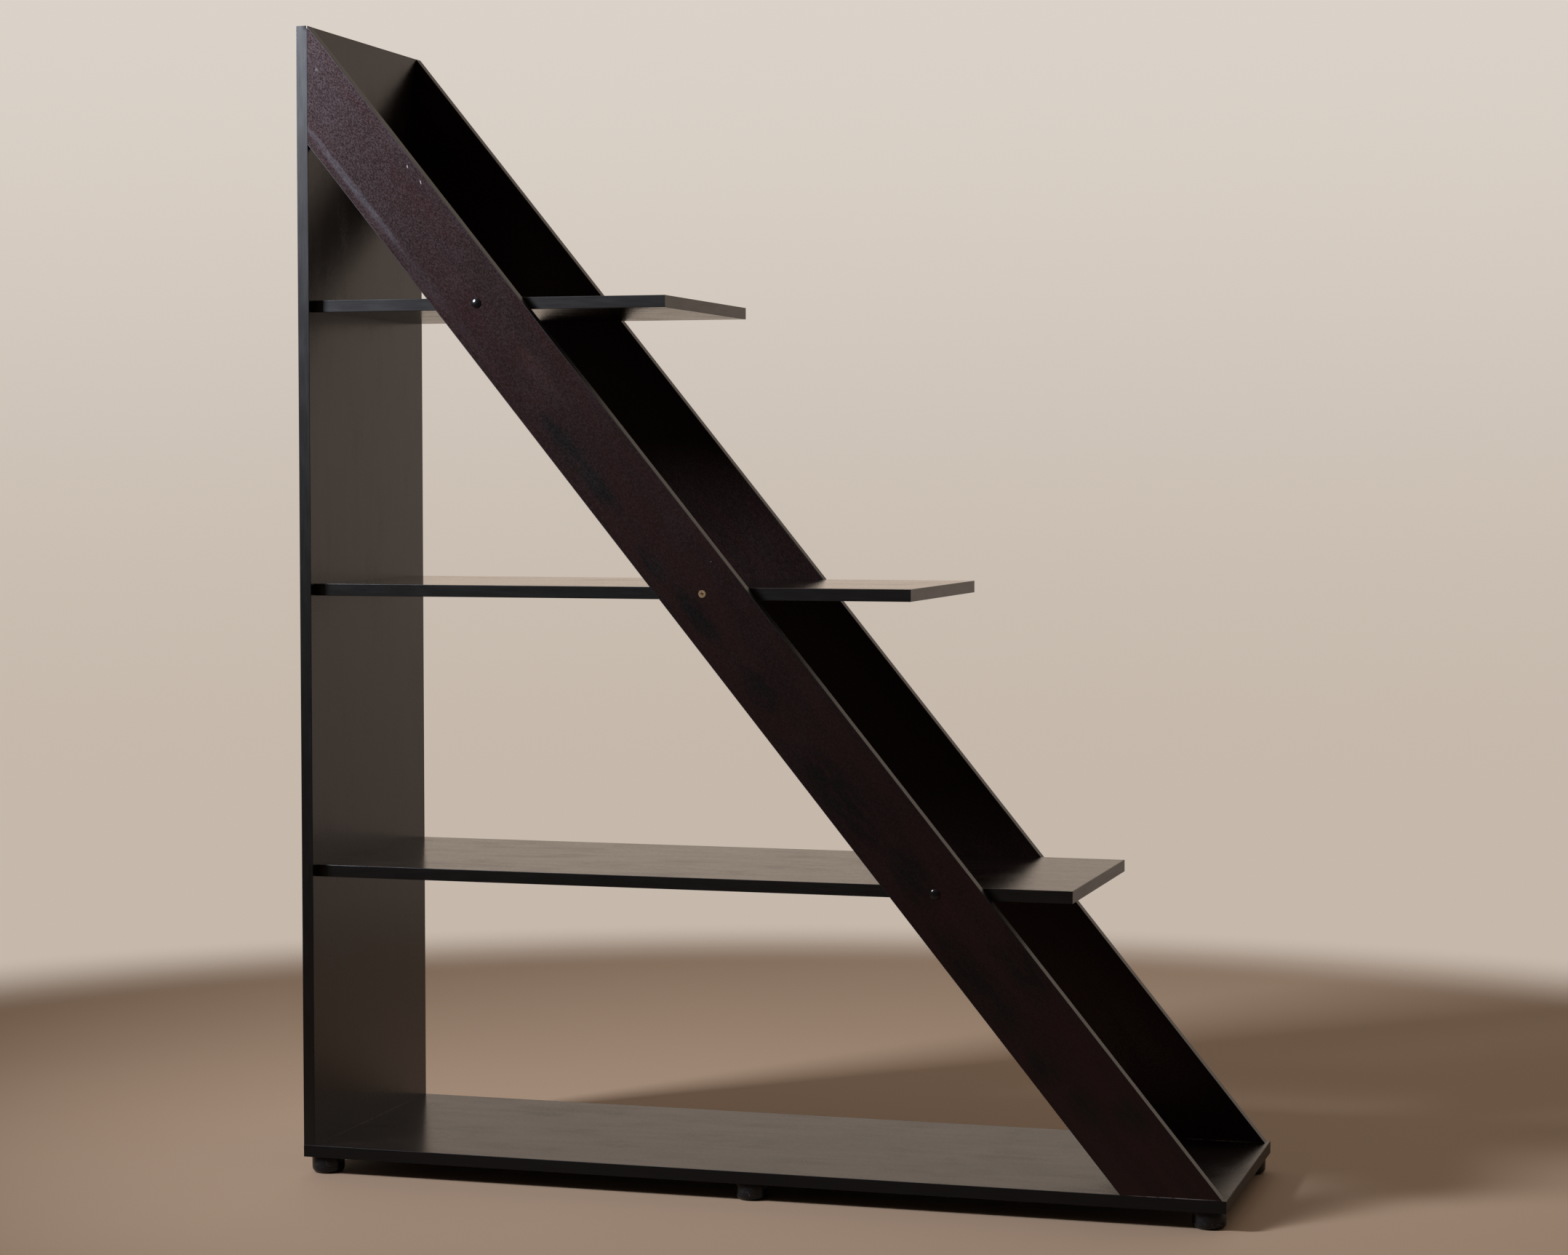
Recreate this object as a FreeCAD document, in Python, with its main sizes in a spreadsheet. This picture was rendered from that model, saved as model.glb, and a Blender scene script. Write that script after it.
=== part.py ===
import FreeCAD, Part
import math
import os
import re
import Sketcher
from FreeCAD import Placement, Rotation, Vector

# Stepped shelving unit: a right-angled triangle seen from the front.
# A tall upright panel stands on the left end of a base board. Three shelves of growing length
# run out from the upright, between a front and a rear diagonal board that lean from the
# upright's top down to the base's right end. Six round feet carry the base.
# Frame: X runs along the shelves, Y from the front to the rear, Z up. The origin is at the
# bottom centre of the whole unit's box, on the floor, screw caps counted in.

# Driving sizes, in millimetres and degrees
SIZES = {
    # boards
    "board_thickness": 16,
    "base_length": 1250,
    "unit_depth": 390,
    "compartment_height": 363,
    "top_shelf_length": 495,
    "middle_shelf_length": 824,
    "bottom_shelf_length": 1035,
    "diagonal_width": 100,
    "diagonal_setback": 5,
    # edge banding
    "band_thickness": 1,
    "band_edge_radius": 0.5,
    # connecting screws
    "screw_length": 50,
    "screw_head_diameter": 10,
    "screw_head_rim": 0.4,
    "screw_cone_angle": 90,
    "screw_shoulder_diameter": 7,
    "screw_shoulder_length": 13,
    "screw_core_diameter": 5,
    "screw_point_length": 4,
    "screw_tip_cover": 5,
    "recess_arm": 5.2,
    "recess_slot": 1.3,
    "recess_depth": 2.6,
    # screw caps
    "cap_diameter": 13,
    "cap_height": 2.4,
    "cap_rim": 0.5,
    "cap_peg_length": 2,
    # dowels
    "dowel_diameter": 8,
    "dowel_length": 35,
    "dowel_chamfer": 1,
    "dowel_face_depth": 11,
    # feet
    "foot_diameter": 44,
    "foot_height": 23,
    "foot_edge_radius": 7,
    "foot_inset": 25,
    "foot_web": 8,
    "foot_recess_diameter": 14,
    "foot_screw_diameter": 4,
    "foot_screw_length": 20,
    "foot_screw_head_diameter": 8,
    "foot_screw_head_height": 2.6,
    "foot_screw_recess_arm": 4,
    "foot_screw_recess_slot": 0.9,
    "foot_screw_recess_depth": 1.6,
    # places of the fasteners
    "joint_screw_inset": 50,
    "upright_screw_inset": 70,
    "joint_dowel_spacing": 32,
    "end_dowel_spacing": 60,
    "lower_screw_inset": 26,
    "lower_dowel_spacing": 40,
    # fits
    "hole_clearance": 0.1,
    "hole_end_clearance": 1,
    "recess_clearance": 0.1,
}

# Sizes and places that follow from the driving ones
DERIVED = {
    "upright_height": "4 * compartment_height + 3 * board_thickness",
    "shelf_depth": "unit_depth - 2 * board_thickness",
    "half_board": "board_thickness / 2",
    "shelf_pitch": "compartment_height + board_thickness",
    # the diagonal's upper edge falls by the upright's height over this run
    "diagonal_run": "base_length - diagonal_setback - board_thickness",
    "diagonal_length": "sqrt(upright_height ^ 2 + diagonal_run ^ 2)",
    # how far the upper edge moves down the upright, or left along the base, per unit of width
    "drop_per_width": "diagonal_length / diagonal_run",
    "shift_per_width": "diagonal_length / upright_height",
    # reach of a screw or a dowel into the second board
    "screw_reach": "screw_length - board_thickness",
    "dowel_reach": "dowel_length - dowel_face_depth",
    # height of the screw through the upright into a diagonal's upper end
    "upper_screw_height": "upright_height - screw_reach * upright_height / diagonal_run"
                          " - screw_tip_cover * drop_per_width",
    "upper_dowel_height": "upper_screw_height - end_dowel_spacing",
    # places along the base of the fasteners in a diagonal's lower end, from the upright
    "lower_screw_place": "diagonal_run - diagonal_width * shift_per_width + lower_screw_inset",
    "lower_dowel_place": "lower_screw_place + lower_dowel_spacing",
    # holes are a little wider and deeper than what they hold
    "screw_hole": "screw_shoulder_diameter + 2 * hole_clearance",
    "pilot_hole": "screw_core_diameter + 2 * hole_clearance",
    "pilot_depth": "screw_reach + hole_end_clearance",
    "sink_diameter": "screw_head_diameter + 2 * hole_clearance"
                     " + 2 * screw_head_rim * tan(screw_cone_angle / 2 * 1deg)",
    "dowel_hole": "dowel_diameter + 2 * hole_clearance",
    "dowel_end_depth": "dowel_reach + hole_end_clearance",
    "foot_screw_hole": "foot_screw_diameter + 2 * hole_clearance",
    "foot_screw_reach": "foot_screw_length - foot_web",
    # the peg under a cap is a cross that fits the screw's recess
    "peg_arm": "recess_arm - 2 * recess_clearance",
    "peg_slot": "recess_slot - 2 * recess_clearance",
    # corner of the unit, as the boards are placed from it
    "left": "(cap_height - base_length) / 2",
    "front": "-unit_depth / 2",
    "rear": "unit_depth / 2",
    "base_top": "foot_height + board_thickness",
    "inner_left": "left + board_thickness",
}

doc = FreeCAD.newDocument("shelving_unit")
sheet = doc.addObject("Spreadsheet::Sheet", "sizes")
for row, (alias, number) in enumerate(SIZES.items(), start=1):
    sheet.set(f"A{row}", alias)
    sheet.set(f"B{row}", str(number))
    sheet.setAlias(f"B{row}", alias)
doc.recompute()

nodes = []
cuts = []


def formula(text):
    """Spells out a sum of named sizes as an expression on the sheet's cells."""

    def spell(match):
        word = match.group(0)
        if word in SIZES:
            return f"sizes.{word}"
        if word in DERIVED:
            return f"({formula(DERIVED[word])})"
        return word

    return re.sub(r"[a-z_]+", spell, text)


def measure(text):
    """The present value of a sum of named sizes."""
    return float(sheet.evalExpression(formula(text)))


def bind(thing, path, text):
    """Ties one property to a sum of named sizes."""
    thing.setExpression(path, formula(text))


def place(thing, x, y, z, turn=Rotation()):
    """Puts a piece at a bound place, with a fixed turn."""
    thing.Placement = Placement(Vector(measure(x), measure(y), measure(z)), turn)
    for axis, text in (("x", x), ("y", y), ("z", z)):
        bind(thing, f"Placement.Base.{axis}", text)


def new_body(name):
    """Starts an empty body under the name of its piece."""
    body = doc.addObject("PartDesign::Body", name)
    body.Label = name
    return body


def keep(piece):
    """Adds a finished piece to those that are written."""
    nodes.append(piece)
    return piece


# Sketches

def new_sketch(body, name, role, level="0"):
    """A sketch on one of the body's own planes, lifted along the plane's normal to a level."""
    sketch = body.newObject("Sketcher::SketchObject", name)
    plane = next(item for item in body.Origin.OriginFeatures if item.Role == role)
    sketch.AttachmentSupport = [(plane, "")]
    sketch.MapMode = "FlatFace"
    bind(sketch, "AttachmentOffset.Base.z", level)
    return sketch


def fix_point(sketch, geometry, end, name, x, y):
    """Holds a point of the sketch at bound distances from the origin, or on an axis."""
    for kind, text, axis in (("DistanceX", x, -2), ("DistanceY", y, -1)):
        if text == "0":
            sketch.addConstraint(Sketcher.Constraint("PointOnObject", geometry, end, axis))
        else:
            rule = Sketcher.Constraint(kind, -1, 1, geometry, end, measure(text))
            index = sketch.addConstraint(rule)
            sketch.renameConstraint(index, f"{name}_{kind[-1].lower()}")
            bind(sketch, f"Constraints.{name}_{kind[-1].lower()}", text)


def draw_outline(sketch, corners):
    """A closed outline of straight lines through bound corners."""
    points = [Vector(measure(x), measure(y), 0) for x, y in corners]
    for start, stop in zip(points, points[1:] + points[:1]):
        sketch.addGeometry(Part.LineSegment(start, stop))
    for number, (x, y) in enumerate(corners):
        before = (number - 1) % len(corners)
        sketch.addConstraint(Sketcher.Constraint("Coincident", before, 2, number, 1))
        fix_point(sketch, number, 1, f"corner{number}", x, y)


def draw_circles(sketch, spots, diameter):
    """Circles of one bound diameter at bound centres."""
    for number, (x, y) in enumerate(spots):
        centre = Vector(measure(x), measure(y), 0)
        sketch.addGeometry(Part.Circle(centre, Vector(0, 0, 1), measure(diameter) / 2))
        fix_point(sketch, number, 3, f"centre{number}", x, y)
        index = sketch.addConstraint(Sketcher.Constraint("Diameter", number, measure(diameter)))
        sketch.renameConstraint(index, f"bore{number}")
        bind(sketch, f"Constraints.bore{number}", diameter)


def cross_corners(arm, slot, centre):
    """The twelve corners of an upright cross, measured from a centre that keeps them positive."""
    near, far = f"{centre} - {slot} / 2", f"{centre} + {slot} / 2"
    low, high = f"{centre} - {arm} / 2", f"{centre} + {arm} / 2"
    return [(near, low), (far, low), (far, near), (high, near), (high, far), (far, far),
            (far, high), (near, high), (near, far), (low, far), (low, near), (near, near)]


# Features

def pad(body, sketch, length, reverse=False):
    """Thickens a sketch along its normal, or against it."""
    feature = body.newObject("PartDesign::Pad", f"{sketch.Name}_pad")
    feature.Profile = sketch
    bind(feature, "Length", length)
    feature.Reversed = reverse
    return feature


def pocket(body, sketch, depth, along_normal):
    """Cuts a sketch into the body to a depth."""
    feature = body.newObject("PartDesign::Pocket", f"{sketch.Name}_pocket")
    feature.Profile = sketch
    bind(feature, "Length", depth)
    feature.Reversed = along_normal
    cuts.append(feature)
    return feature


def drill(body, name, role, spots, diameter, depth, level="0", along_normal=False):
    """Drills blind holes of one size from a plane."""
    sketch = new_sketch(body, f"{body.Name}_{name}", role, level)
    draw_circles(sketch, spots, diameter)
    return pocket(body, sketch, depth, along_normal)


def sink_screws(body, name, role, spots, level="0", along_normal=False):
    """Clearance holes for connecting screws right through a board, sunk for their heads."""
    sketch = new_sketch(body, f"{body.Name}_{name}", role, level)
    draw_circles(sketch, spots, "screw_hole")
    feature = body.newObject("PartDesign::Hole", f"{sketch.Name}_hole")
    feature.Profile = sketch
    doc.recompute()
    feature.ThreadType = "None"
    bind(feature, "Diameter", "screw_hole")
    feature.DepthType = "ThroughAll"
    feature.HoleCutType = "Countersink"
    bind(feature, "HoleCutDiameter", "sink_diameter")
    bind(feature, "HoleCutCountersinkAngle", "screw_cone_angle")
    feature.Reversed = along_normal
    cuts.append(feature)
    return feature


def edges_where(shape, wanted):
    """The names of the shape's edges whose every end is wanted."""
    return [f"Edge{number}" for number, edge in enumerate(shape.Edges, start=1)
            if all(wanted(vertex.Point) for vertex in edge.Vertexes)]


def round_edges(body, base, names, radius):
    """Rounds the named edges by a bound radius."""
    feature = body.newObject("PartDesign::Fillet", f"{base.Name}_round")
    feature.Base = (base, names)
    bind(feature, "Radius", radius)
    return feature


# Boards

def flat_board(name, role, corners):
    """The core of a board: an outline on a plane, one board thick."""
    body = new_body(name)
    sketch = new_sketch(body, f"{name}_outline", role)
    draw_outline(sketch, corners)
    pad(body, sketch, "board_thickness")
    return keep(body)


def rectangle(left, low, right, high):
    """The four corners of an upright rectangle."""
    return [(left, low), (right, low), (right, high), (left, high)]


def slanted_corners(upper, lower):
    """The outline of a slanted strip between two depths below the diagonal's upper edge.

    Its upper end is cut upright, against the panel, and its lower end level, on the base."""
    return [("0", f"upright_height - {lower} * drop_per_width"),
            (f"diagonal_run - {lower} * shift_per_width", "0"),
            (f"diagonal_run - {upper} * shift_per_width", "0"),
            ("0", f"upright_height - {upper} * drop_per_width")]


def centreline_place(height):
    """How far from the upright a diagonal's centreline is at a height over the base."""
    return (f"diagonal_run * (upright_height - {height}) / upright_height"
            " - diagonal_width / 2 * shift_per_width")


# The shelves from the lowest up, and their lengths
SHELVES = {"shelf_bottom": "bottom_shelf_length",
           "shelf_middle": "middle_shelf_length",
           "shelf_top": "top_shelf_length"}


def shelf_level(name):
    """Height over the base of a shelf's upper face: one pitch for each shelf up to it."""
    below = list(SHELVES).index(name)
    return "(" + " + ".join(["shelf_pitch"] * (below + 1)) + ")"


def shelf_mid(name):
    """Height over the base of the middle of a shelf's thickness."""
    return f"({shelf_level(name)} - half_board)"


# Distances along the depth of the screws and dowels in a shelf's end and under the upright
SHELF_SCREWS = ("joint_screw_inset", "shelf_depth - joint_screw_inset")
SHELF_DOWELS = ("joint_screw_inset + joint_dowel_spacing",
                "shelf_depth - joint_screw_inset - joint_dowel_spacing")
UPRIGHT_SCREWS = ("upright_screw_inset", "unit_depth - upright_screw_inset")
UPRIGHT_DOWELS = ("upright_screw_inset + joint_dowel_spacing",
                  "unit_depth - upright_screw_inset - joint_dowel_spacing")
DIAGONAL_MIDS = ("half_board", "unit_depth - half_board")
FOOT_PLACES = (("left", "foot_inset"), ("middle", "base_length / 2"),
               ("right", "base_length - foot_inset"))
FOOT_ROWS = (("front", "foot_inset"), ("rear", "unit_depth - foot_inset"))


def build_base():
    """The base board's core, with its holes from below and on top."""
    body = flat_board("base_board", "XY_Plane", rectangle(
        "band_thickness", "band_thickness",
        "base_length - band_thickness", "unit_depth - band_thickness"))
    under_upright = [("half_board", y) for y in UPRIGHT_SCREWS]
    under_diagonals = [("board_thickness + lower_screw_place", y) for y in DIAGONAL_MIDS]
    sink_screws(body, "sunk_holes", "XY_Plane", under_upright + under_diagonals, along_normal=True)
    dowels = [("half_board", y) for y in UPRIGHT_DOWELS]
    dowels += [("board_thickness + lower_dowel_place", y) for y in DIAGONAL_MIDS]
    drill(body, "dowel_holes", "XY_Plane", dowels, "dowel_hole", "dowel_face_depth",
          level="board_thickness")
    feet = [(x, y) for _, x in FOOT_PLACES for _, y in FOOT_ROWS]
    drill(body, "foot_holes", "XY_Plane", feet, "foot_screw_hole",
          "foot_screw_reach + hole_end_clearance", along_normal=True)
    place(body, "left", "front", "foot_height")


def build_upright():
    """The upright panel's core, with its holes from outside, inside and below."""
    body = flat_board("upright_panel", "YZ_Plane", rectangle(
        "band_thickness", "0", "unit_depth - band_thickness", "upright_height - band_thickness"))
    shelf_screws = [(f"board_thickness + {y}", shelf_mid(shelf))
                    for shelf in SHELVES for y in SHELF_SCREWS]
    diagonal_screws = [(y, "upper_screw_height") for y in DIAGONAL_MIDS]
    sink_screws(body, "sunk_holes", "YZ_Plane", shelf_screws + diagonal_screws, along_normal=True)
    dowels = [(f"board_thickness + {y}", shelf_mid(shelf))
              for shelf in SHELVES for y in SHELF_DOWELS]
    dowels += [(y, "upper_dowel_height") for y in DIAGONAL_MIDS]
    drill(body, "dowel_holes", "YZ_Plane", dowels, "dowel_hole", "dowel_face_depth",
          level="board_thickness")
    drill(body, "base_screw_holes", "XY_Plane", [("half_board", y) for y in UPRIGHT_SCREWS],
          "pilot_hole", "pilot_depth", along_normal=True)
    drill(body, "base_dowel_holes", "XY_Plane", [("half_board", y) for y in UPRIGHT_DOWELS],
          "dowel_hole", "dowel_end_depth", along_normal=True)
    place(body, "left", "front", "base_top")


def build_shelf(name):
    """A shelf's core, drilled at its left end and at the middle of each diagonal."""
    length = SHELVES[name]
    body = flat_board(name, "XY_Plane", rectangle(
        "0", "band_thickness", f"{length} - band_thickness", "shelf_depth - band_thickness"))
    drill(body, "end_screw_holes", "YZ_Plane", [(y, "half_board") for y in SHELF_SCREWS],
          "pilot_hole", "pilot_depth", along_normal=True)
    drill(body, "end_dowel_holes", "YZ_Plane", [(y, "half_board") for y in SHELF_DOWELS],
          "dowel_hole", "dowel_end_depth", along_normal=True)
    crossing = [(centreline_place(shelf_mid(name)), "half_board")]
    drill(body, "front_screw_hole", "XZ_Plane", crossing, "pilot_hole", "pilot_depth")
    drill(body, "rear_screw_hole", "XZ_Plane", crossing, "pilot_hole", "pilot_depth",
          level="-shelf_depth", along_normal=True)
    place(body, "inner_left", "front + board_thickness",
          f"base_top + {shelf_level(name)} - board_thickness")


def build_diagonal(name, is_front):
    """A diagonal's core, sunk for screws in its outer face and drilled in both ends."""
    body = new_body(name)
    sketch = new_sketch(body, f"{name}_outline", "XZ_Plane")
    draw_outline(sketch, slanted_corners("band_thickness", "(diagonal_width - band_thickness)"))
    pad(body, sketch, "board_thickness", reverse=True)
    keep(body)
    crossings = [(centreline_place(shelf_mid(shelf)), shelf_mid(shelf)) for shelf in SHELVES]
    sink_screws(body, "sunk_holes", "XZ_Plane", crossings,
                level="0" if is_front else "-board_thickness", along_normal=not is_front)
    drill(body, "upper_screw_hole", "YZ_Plane", [("half_board", "upper_screw_height")],
          "pilot_hole", "pilot_depth", along_normal=True)
    drill(body, "upper_dowel_hole", "YZ_Plane", [("half_board", "upper_dowel_height")],
          "dowel_hole", "dowel_end_depth", along_normal=True)
    drill(body, "lower_screw_hole", "XY_Plane", [("lower_screw_place", "half_board")],
          "pilot_hole", "pilot_depth", along_normal=True)
    drill(body, "lower_dowel_hole", "XY_Plane", [("lower_dowel_place", "half_board")],
          "dowel_hole", "dowel_end_depth", along_normal=True)
    place(body, "inner_left", "front" if is_front else "rear - board_thickness", "base_top")


# Edge banding

def straight_strip(name, length, where, turn, holes=()):
    """One strip of edge banding, with its outer long edges rounded.

    It is drawn along X, its outer face at the front, and turned into place."""
    body = new_body(name)
    sketch = new_sketch(body, f"{name}_face", "XZ_Plane")
    draw_outline(sketch, rectangle("0", "0", length, "board_thickness"))
    strip = pad(body, sketch, "band_thickness", reverse=True)
    doc.recompute()
    strip = round_edges(body, strip, long_outer_edges(strip.Shape), "band_edge_radius")
    if holes:
        drill(body, "screw_hole", "XZ_Plane", holes, "pilot_hole", "band_thickness")
    place(body, *where, turn)
    return body


def long_outer_edges(shape):
    """The long edges of a strip that lie in its outer face, at y = 0."""
    tiny = measure("band_thickness") / 10
    long_side = measure("board_thickness") * 2
    return [name for name in edges_where(shape, lambda point: abs(point.y) < tiny)
            if shape.getElement(name).Length > long_side]


def slanted_strip(name, upper, lower, is_upper, y):
    """The banding of a diagonal's upper or lower edge, with its outer corners rounded."""
    body = new_body(name)
    sketch = new_sketch(body, f"{name}_face", "XZ_Plane")
    draw_outline(sketch, slanted_corners(upper, lower))
    strip = pad(body, sketch, "board_thickness", reverse=True)
    doc.recompute()
    edge_depth = measure(upper if is_upper else lower)
    tiny = measure("band_thickness") / 10

    def on_outer_edge(point):
        """True where a point lies on the strip's outer slanted line."""
        rise, run = measure("upright_height"), measure("diagonal_run")
        depth = (rise * run - rise * point.x - run * point.z) / measure("diagonal_length")
        return abs(depth - edge_depth) < tiny

    long_side = measure("board_thickness") * 2
    names = [found for found in edges_where(strip.Shape, on_outer_edge)
             if strip.Shape.getElement(found).Length > long_side]
    round_edges(body, strip, names, "band_edge_radius")
    place(body, "inner_left", y, "base_top")
    return body


def group(name, pieces):
    """Several separate solids under one label."""
    compound = doc.addObject("Part::Compound", name)
    compound.Label = name
    compound.Links = pieces
    return keep(compound)


FORWARD = Rotation()
BACKWARD = Rotation(Vector(0, 0, 1), 180)
LEFTWARD = Rotation(Vector(0, 0, 1), -90)
RIGHTWARD = Rotation(Vector(0, 0, 1), 90)
# a strip along a panel's front or rear edge stands up, one along its top lies across
UPRIGHT_FORWARD = Rotation(Vector(0, 1, 0), -90)
UPRIGHT_BACKWARD = Rotation(Vector(0, 0, 1), 180) * Rotation(Vector(0, 1, 0), -90)
ACROSS_TOP = Rotation(Vector(0, 0, 1), 90) * Rotation(Vector(1, 0, 0), -90)


def band_base():
    """Strips on all four edges of the base: the long ones run over the ends of the short ones."""
    side = "unit_depth - 2 * band_thickness"
    group("base_edge_bands", [
        straight_strip("base_front_band", "base_length", ("left", "front", "foot_height"), FORWARD),
        straight_strip("base_rear_band", "base_length",
                       ("left + base_length", "rear", "foot_height"), BACKWARD),
        straight_strip("base_left_band", side,
                       ("left", "rear - band_thickness", "foot_height"), LEFTWARD),
        straight_strip("base_right_band", side,
                       ("left + base_length", "front + band_thickness", "foot_height"), RIGHTWARD)])


def band_upright():
    """Strips on the front, rear and top edges of the upright."""
    group("upright_edge_bands", [
        straight_strip("upright_front_band", "upright_height",
                       ("inner_left", "front", "base_top"), UPRIGHT_FORWARD),
        straight_strip("upright_rear_band", "upright_height",
                       ("left", "rear", "base_top"), UPRIGHT_BACKWARD),
        straight_strip("upright_top_band", "unit_depth - 2 * band_thickness",
                       ("inner_left", "front + band_thickness", "base_top + upright_height"),
                       ACROSS_TOP)])


def band_shelf(name):
    """Strips on the front, rear and right edges of a shelf."""
    length = SHELVES[name]
    underside = f"base_top + {shelf_level(name)} - board_thickness"
    crossing = centreline_place(shelf_mid(name))
    group(f"{name}_edge_bands", [
        straight_strip(f"{name}_front_band", length,
                       ("inner_left", "front + board_thickness", underside), FORWARD,
                       [(crossing, "half_board")]),
        straight_strip(f"{name}_rear_band", length,
                       (f"inner_left + {length}", "rear - board_thickness", underside), BACKWARD,
                       [(f"{length} - ({crossing})", "half_board")]),
        straight_strip(f"{name}_right_band", "shelf_depth - 2 * band_thickness",
                       (f"inner_left + {length}", "front + board_thickness + band_thickness",
                        underside), RIGHTWARD)])


def band_diagonal(name, y):
    """Strips on the upper and lower edges of a diagonal."""
    group(f"{name}_edge_bands", [
        slanted_strip(f"{name}_upper_band", "0", "band_thickness", True, y),
        slanted_strip(f"{name}_lower_band", "(diagonal_width - band_thickness)", "diagonal_width",
                      False, y)])


# Fasteners

def turned_piece(name, profile):
    """A body of revolution: a half outline, radius along X and length along Z, spun about Z."""
    body = new_body(name)
    sketch = new_sketch(body, f"{name}_profile", "XZ_Plane")
    draw_outline(sketch, profile)
    feature = body.newObject("PartDesign::Revolution", f"{name}_turn")
    feature.Profile = sketch
    feature.ReferenceAxis = (sketch, ["V_Axis"])
    feature.Angle = 360
    return body


def cut_cross(body, arm, slot, depth):
    """A cross recess in the head's top, at z = 0, cut up into the screw."""
    sketch = new_sketch(body, f"{body.Name}_recess", "XY_Plane")
    draw_cross(sketch, arm, slot)
    return pocket(body, sketch, depth, along_normal=True)


def draw_cross(sketch, arm, slot):
    """A cross about the sketch's origin, from a frame moved half an arm back both ways."""
    for axis in ("x", "y"):
        bind(sketch, f"AttachmentOffset.Base.{axis}", f"-{arm}")
    draw_outline(sketch, cross_corners(arm, slot, arm))


def build_screw_pattern():
    """A connecting screw for board edges: sunk head, plain shoulder and threaded core.

    The thread bites into the wood, so it is drawn at its core diameter. The head's top is at
    z = 0 and the screw points up."""
    head = "screw_head_diameter / 2"
    shoulder = "screw_shoulder_diameter / 2"
    core = "screw_core_diameter / 2"
    cone_end = f"screw_head_rim + ({head} - {shoulder}) / tan(screw_cone_angle / 2 * 1deg)"
    step = f"{shoulder} - {core}"
    body = turned_piece("screw_pattern", [
        ("0", "0"), (head, "0"), (head, "screw_head_rim"), (shoulder, cone_end),
        (shoulder, "screw_shoulder_length"), (core, f"screw_shoulder_length + {step}"),
        (core, "screw_length - screw_point_length"), ("0", "screw_length")])
    cut_cross(body, "recess_arm", "recess_slot", "recess_depth")
    return body


def build_cap_pattern():
    """A domed cap: a flat underside at z = 0, a dome below it and a cross peg above it."""
    body = new_body("cap_pattern")
    sketch = new_sketch(body, "cap_pattern_profile", "XZ_Plane")
    radius, rim, top = (measure(text) for text in ("cap_diameter / 2", "cap_rim", "cap_height"))
    # the dome's arc runs from the crown, on the axis, to the rim's outer corner
    rise = top - rim
    arc_radius = (radius ** 2 + rise ** 2) / (2 * rise)
    circle = Part.Circle(Vector(0, arc_radius - top, 0), Vector(0, 0, 1), arc_radius)
    crown_angle = -math.pi / 2
    dome = Part.ArcOfCircle(circle, crown_angle, crown_angle + math.asin(radius / arc_radius))
    origin, edge = Vector(0, 0, 0), Vector(radius, 0, 0)
    sketch.addGeometry(Part.LineSegment(origin, edge))
    sketch.addGeometry(Part.LineSegment(edge, Vector(radius, -rim, 0)))
    sketch.addGeometry(dome)
    sketch.addGeometry(Part.LineSegment(Vector(0, -top, 0), origin))
    for rule in (Sketcher.Constraint("Coincident", 0, 1, -1, 1),
                 Sketcher.Constraint("Horizontal", 0),
                 Sketcher.Constraint("Coincident", 0, 2, 1, 1),
                 Sketcher.Constraint("Vertical", 1),
                 Sketcher.Constraint("Coincident", 1, 2, 2, 2),
                 Sketcher.Constraint("Coincident", 2, 1, 3, 1),
                 Sketcher.Constraint("Coincident", 3, 2, -1, 1),
                 Sketcher.Constraint("PointOnObject", 2, 3, -2),
                 Sketcher.Constraint("Vertical", 3)):
        sketch.addConstraint(rule)
    for name, kind, line, text in (("reach", "DistanceX", 0, "cap_diameter / 2"),
                                   ("rim", "DistanceY", 1, "-cap_rim"),
                                   ("height", "DistanceY", 3, "cap_height")):
        index = sketch.addConstraint(
            Sketcher.Constraint(kind, line, 1, line, 2, measure(text)))
        sketch.renameConstraint(index, name)
        bind(sketch, f"Constraints.{name}", text)
    feature = body.newObject("PartDesign::Revolution", "cap_pattern_turn")
    feature.Profile = sketch
    feature.ReferenceAxis = (sketch, ["V_Axis"])
    feature.Angle = 360
    peg = new_sketch(body, "cap_pattern_peg", "XY_Plane")
    draw_cross(peg, "peg_arm", "peg_slot")
    pad(body, peg, "cap_peg_length")
    return body


def build_dowel_pattern():
    """A round wooden dowel, bevelled at both ends."""
    body = new_body("dowel_pattern")
    sketch = new_sketch(body, "dowel_pattern_round", "XY_Plane")
    draw_circles(sketch, [("0", "0")], "dowel_diameter")
    rod = pad(body, sketch, "dowel_length")
    doc.recompute()
    tiny = measure("dowel_chamfer") / 10
    ends = (0, measure("dowel_length"))
    rims = [f"Edge{number}" for number, edge in enumerate(rod.Shape.Edges, start=1)
            if any(all(abs(vertex.Z - end) < tiny for vertex in edge.Vertexes) for end in ends)]
    feature = body.newObject("PartDesign::Chamfer", "dowel_pattern_bevel")
    feature.Base = (rod, rims)
    bind(feature, "Size", "dowel_chamfer")
    return body


def build_foot_screw_pattern():
    """A pan-head wood screw, drawn at its core diameter, head down at z = 0."""
    head = "foot_screw_head_diameter / 2"
    core = "foot_screw_diameter / 2"
    end = "foot_screw_head_height + foot_screw_length"
    body = turned_piece("foot_screw_pattern", [
        ("0", "0"), (f"{head} - foot_screw_head_height / 2", "0"),
        (head, "foot_screw_head_height / 2"), (head, "foot_screw_head_height"),
        (core, "foot_screw_head_height"), (core, f"{end} - foot_screw_diameter"), ("0", end)])
    cut_cross(body, "foot_screw_recess_arm", "foot_screw_recess_slot", "foot_screw_recess_depth")
    return body


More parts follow.
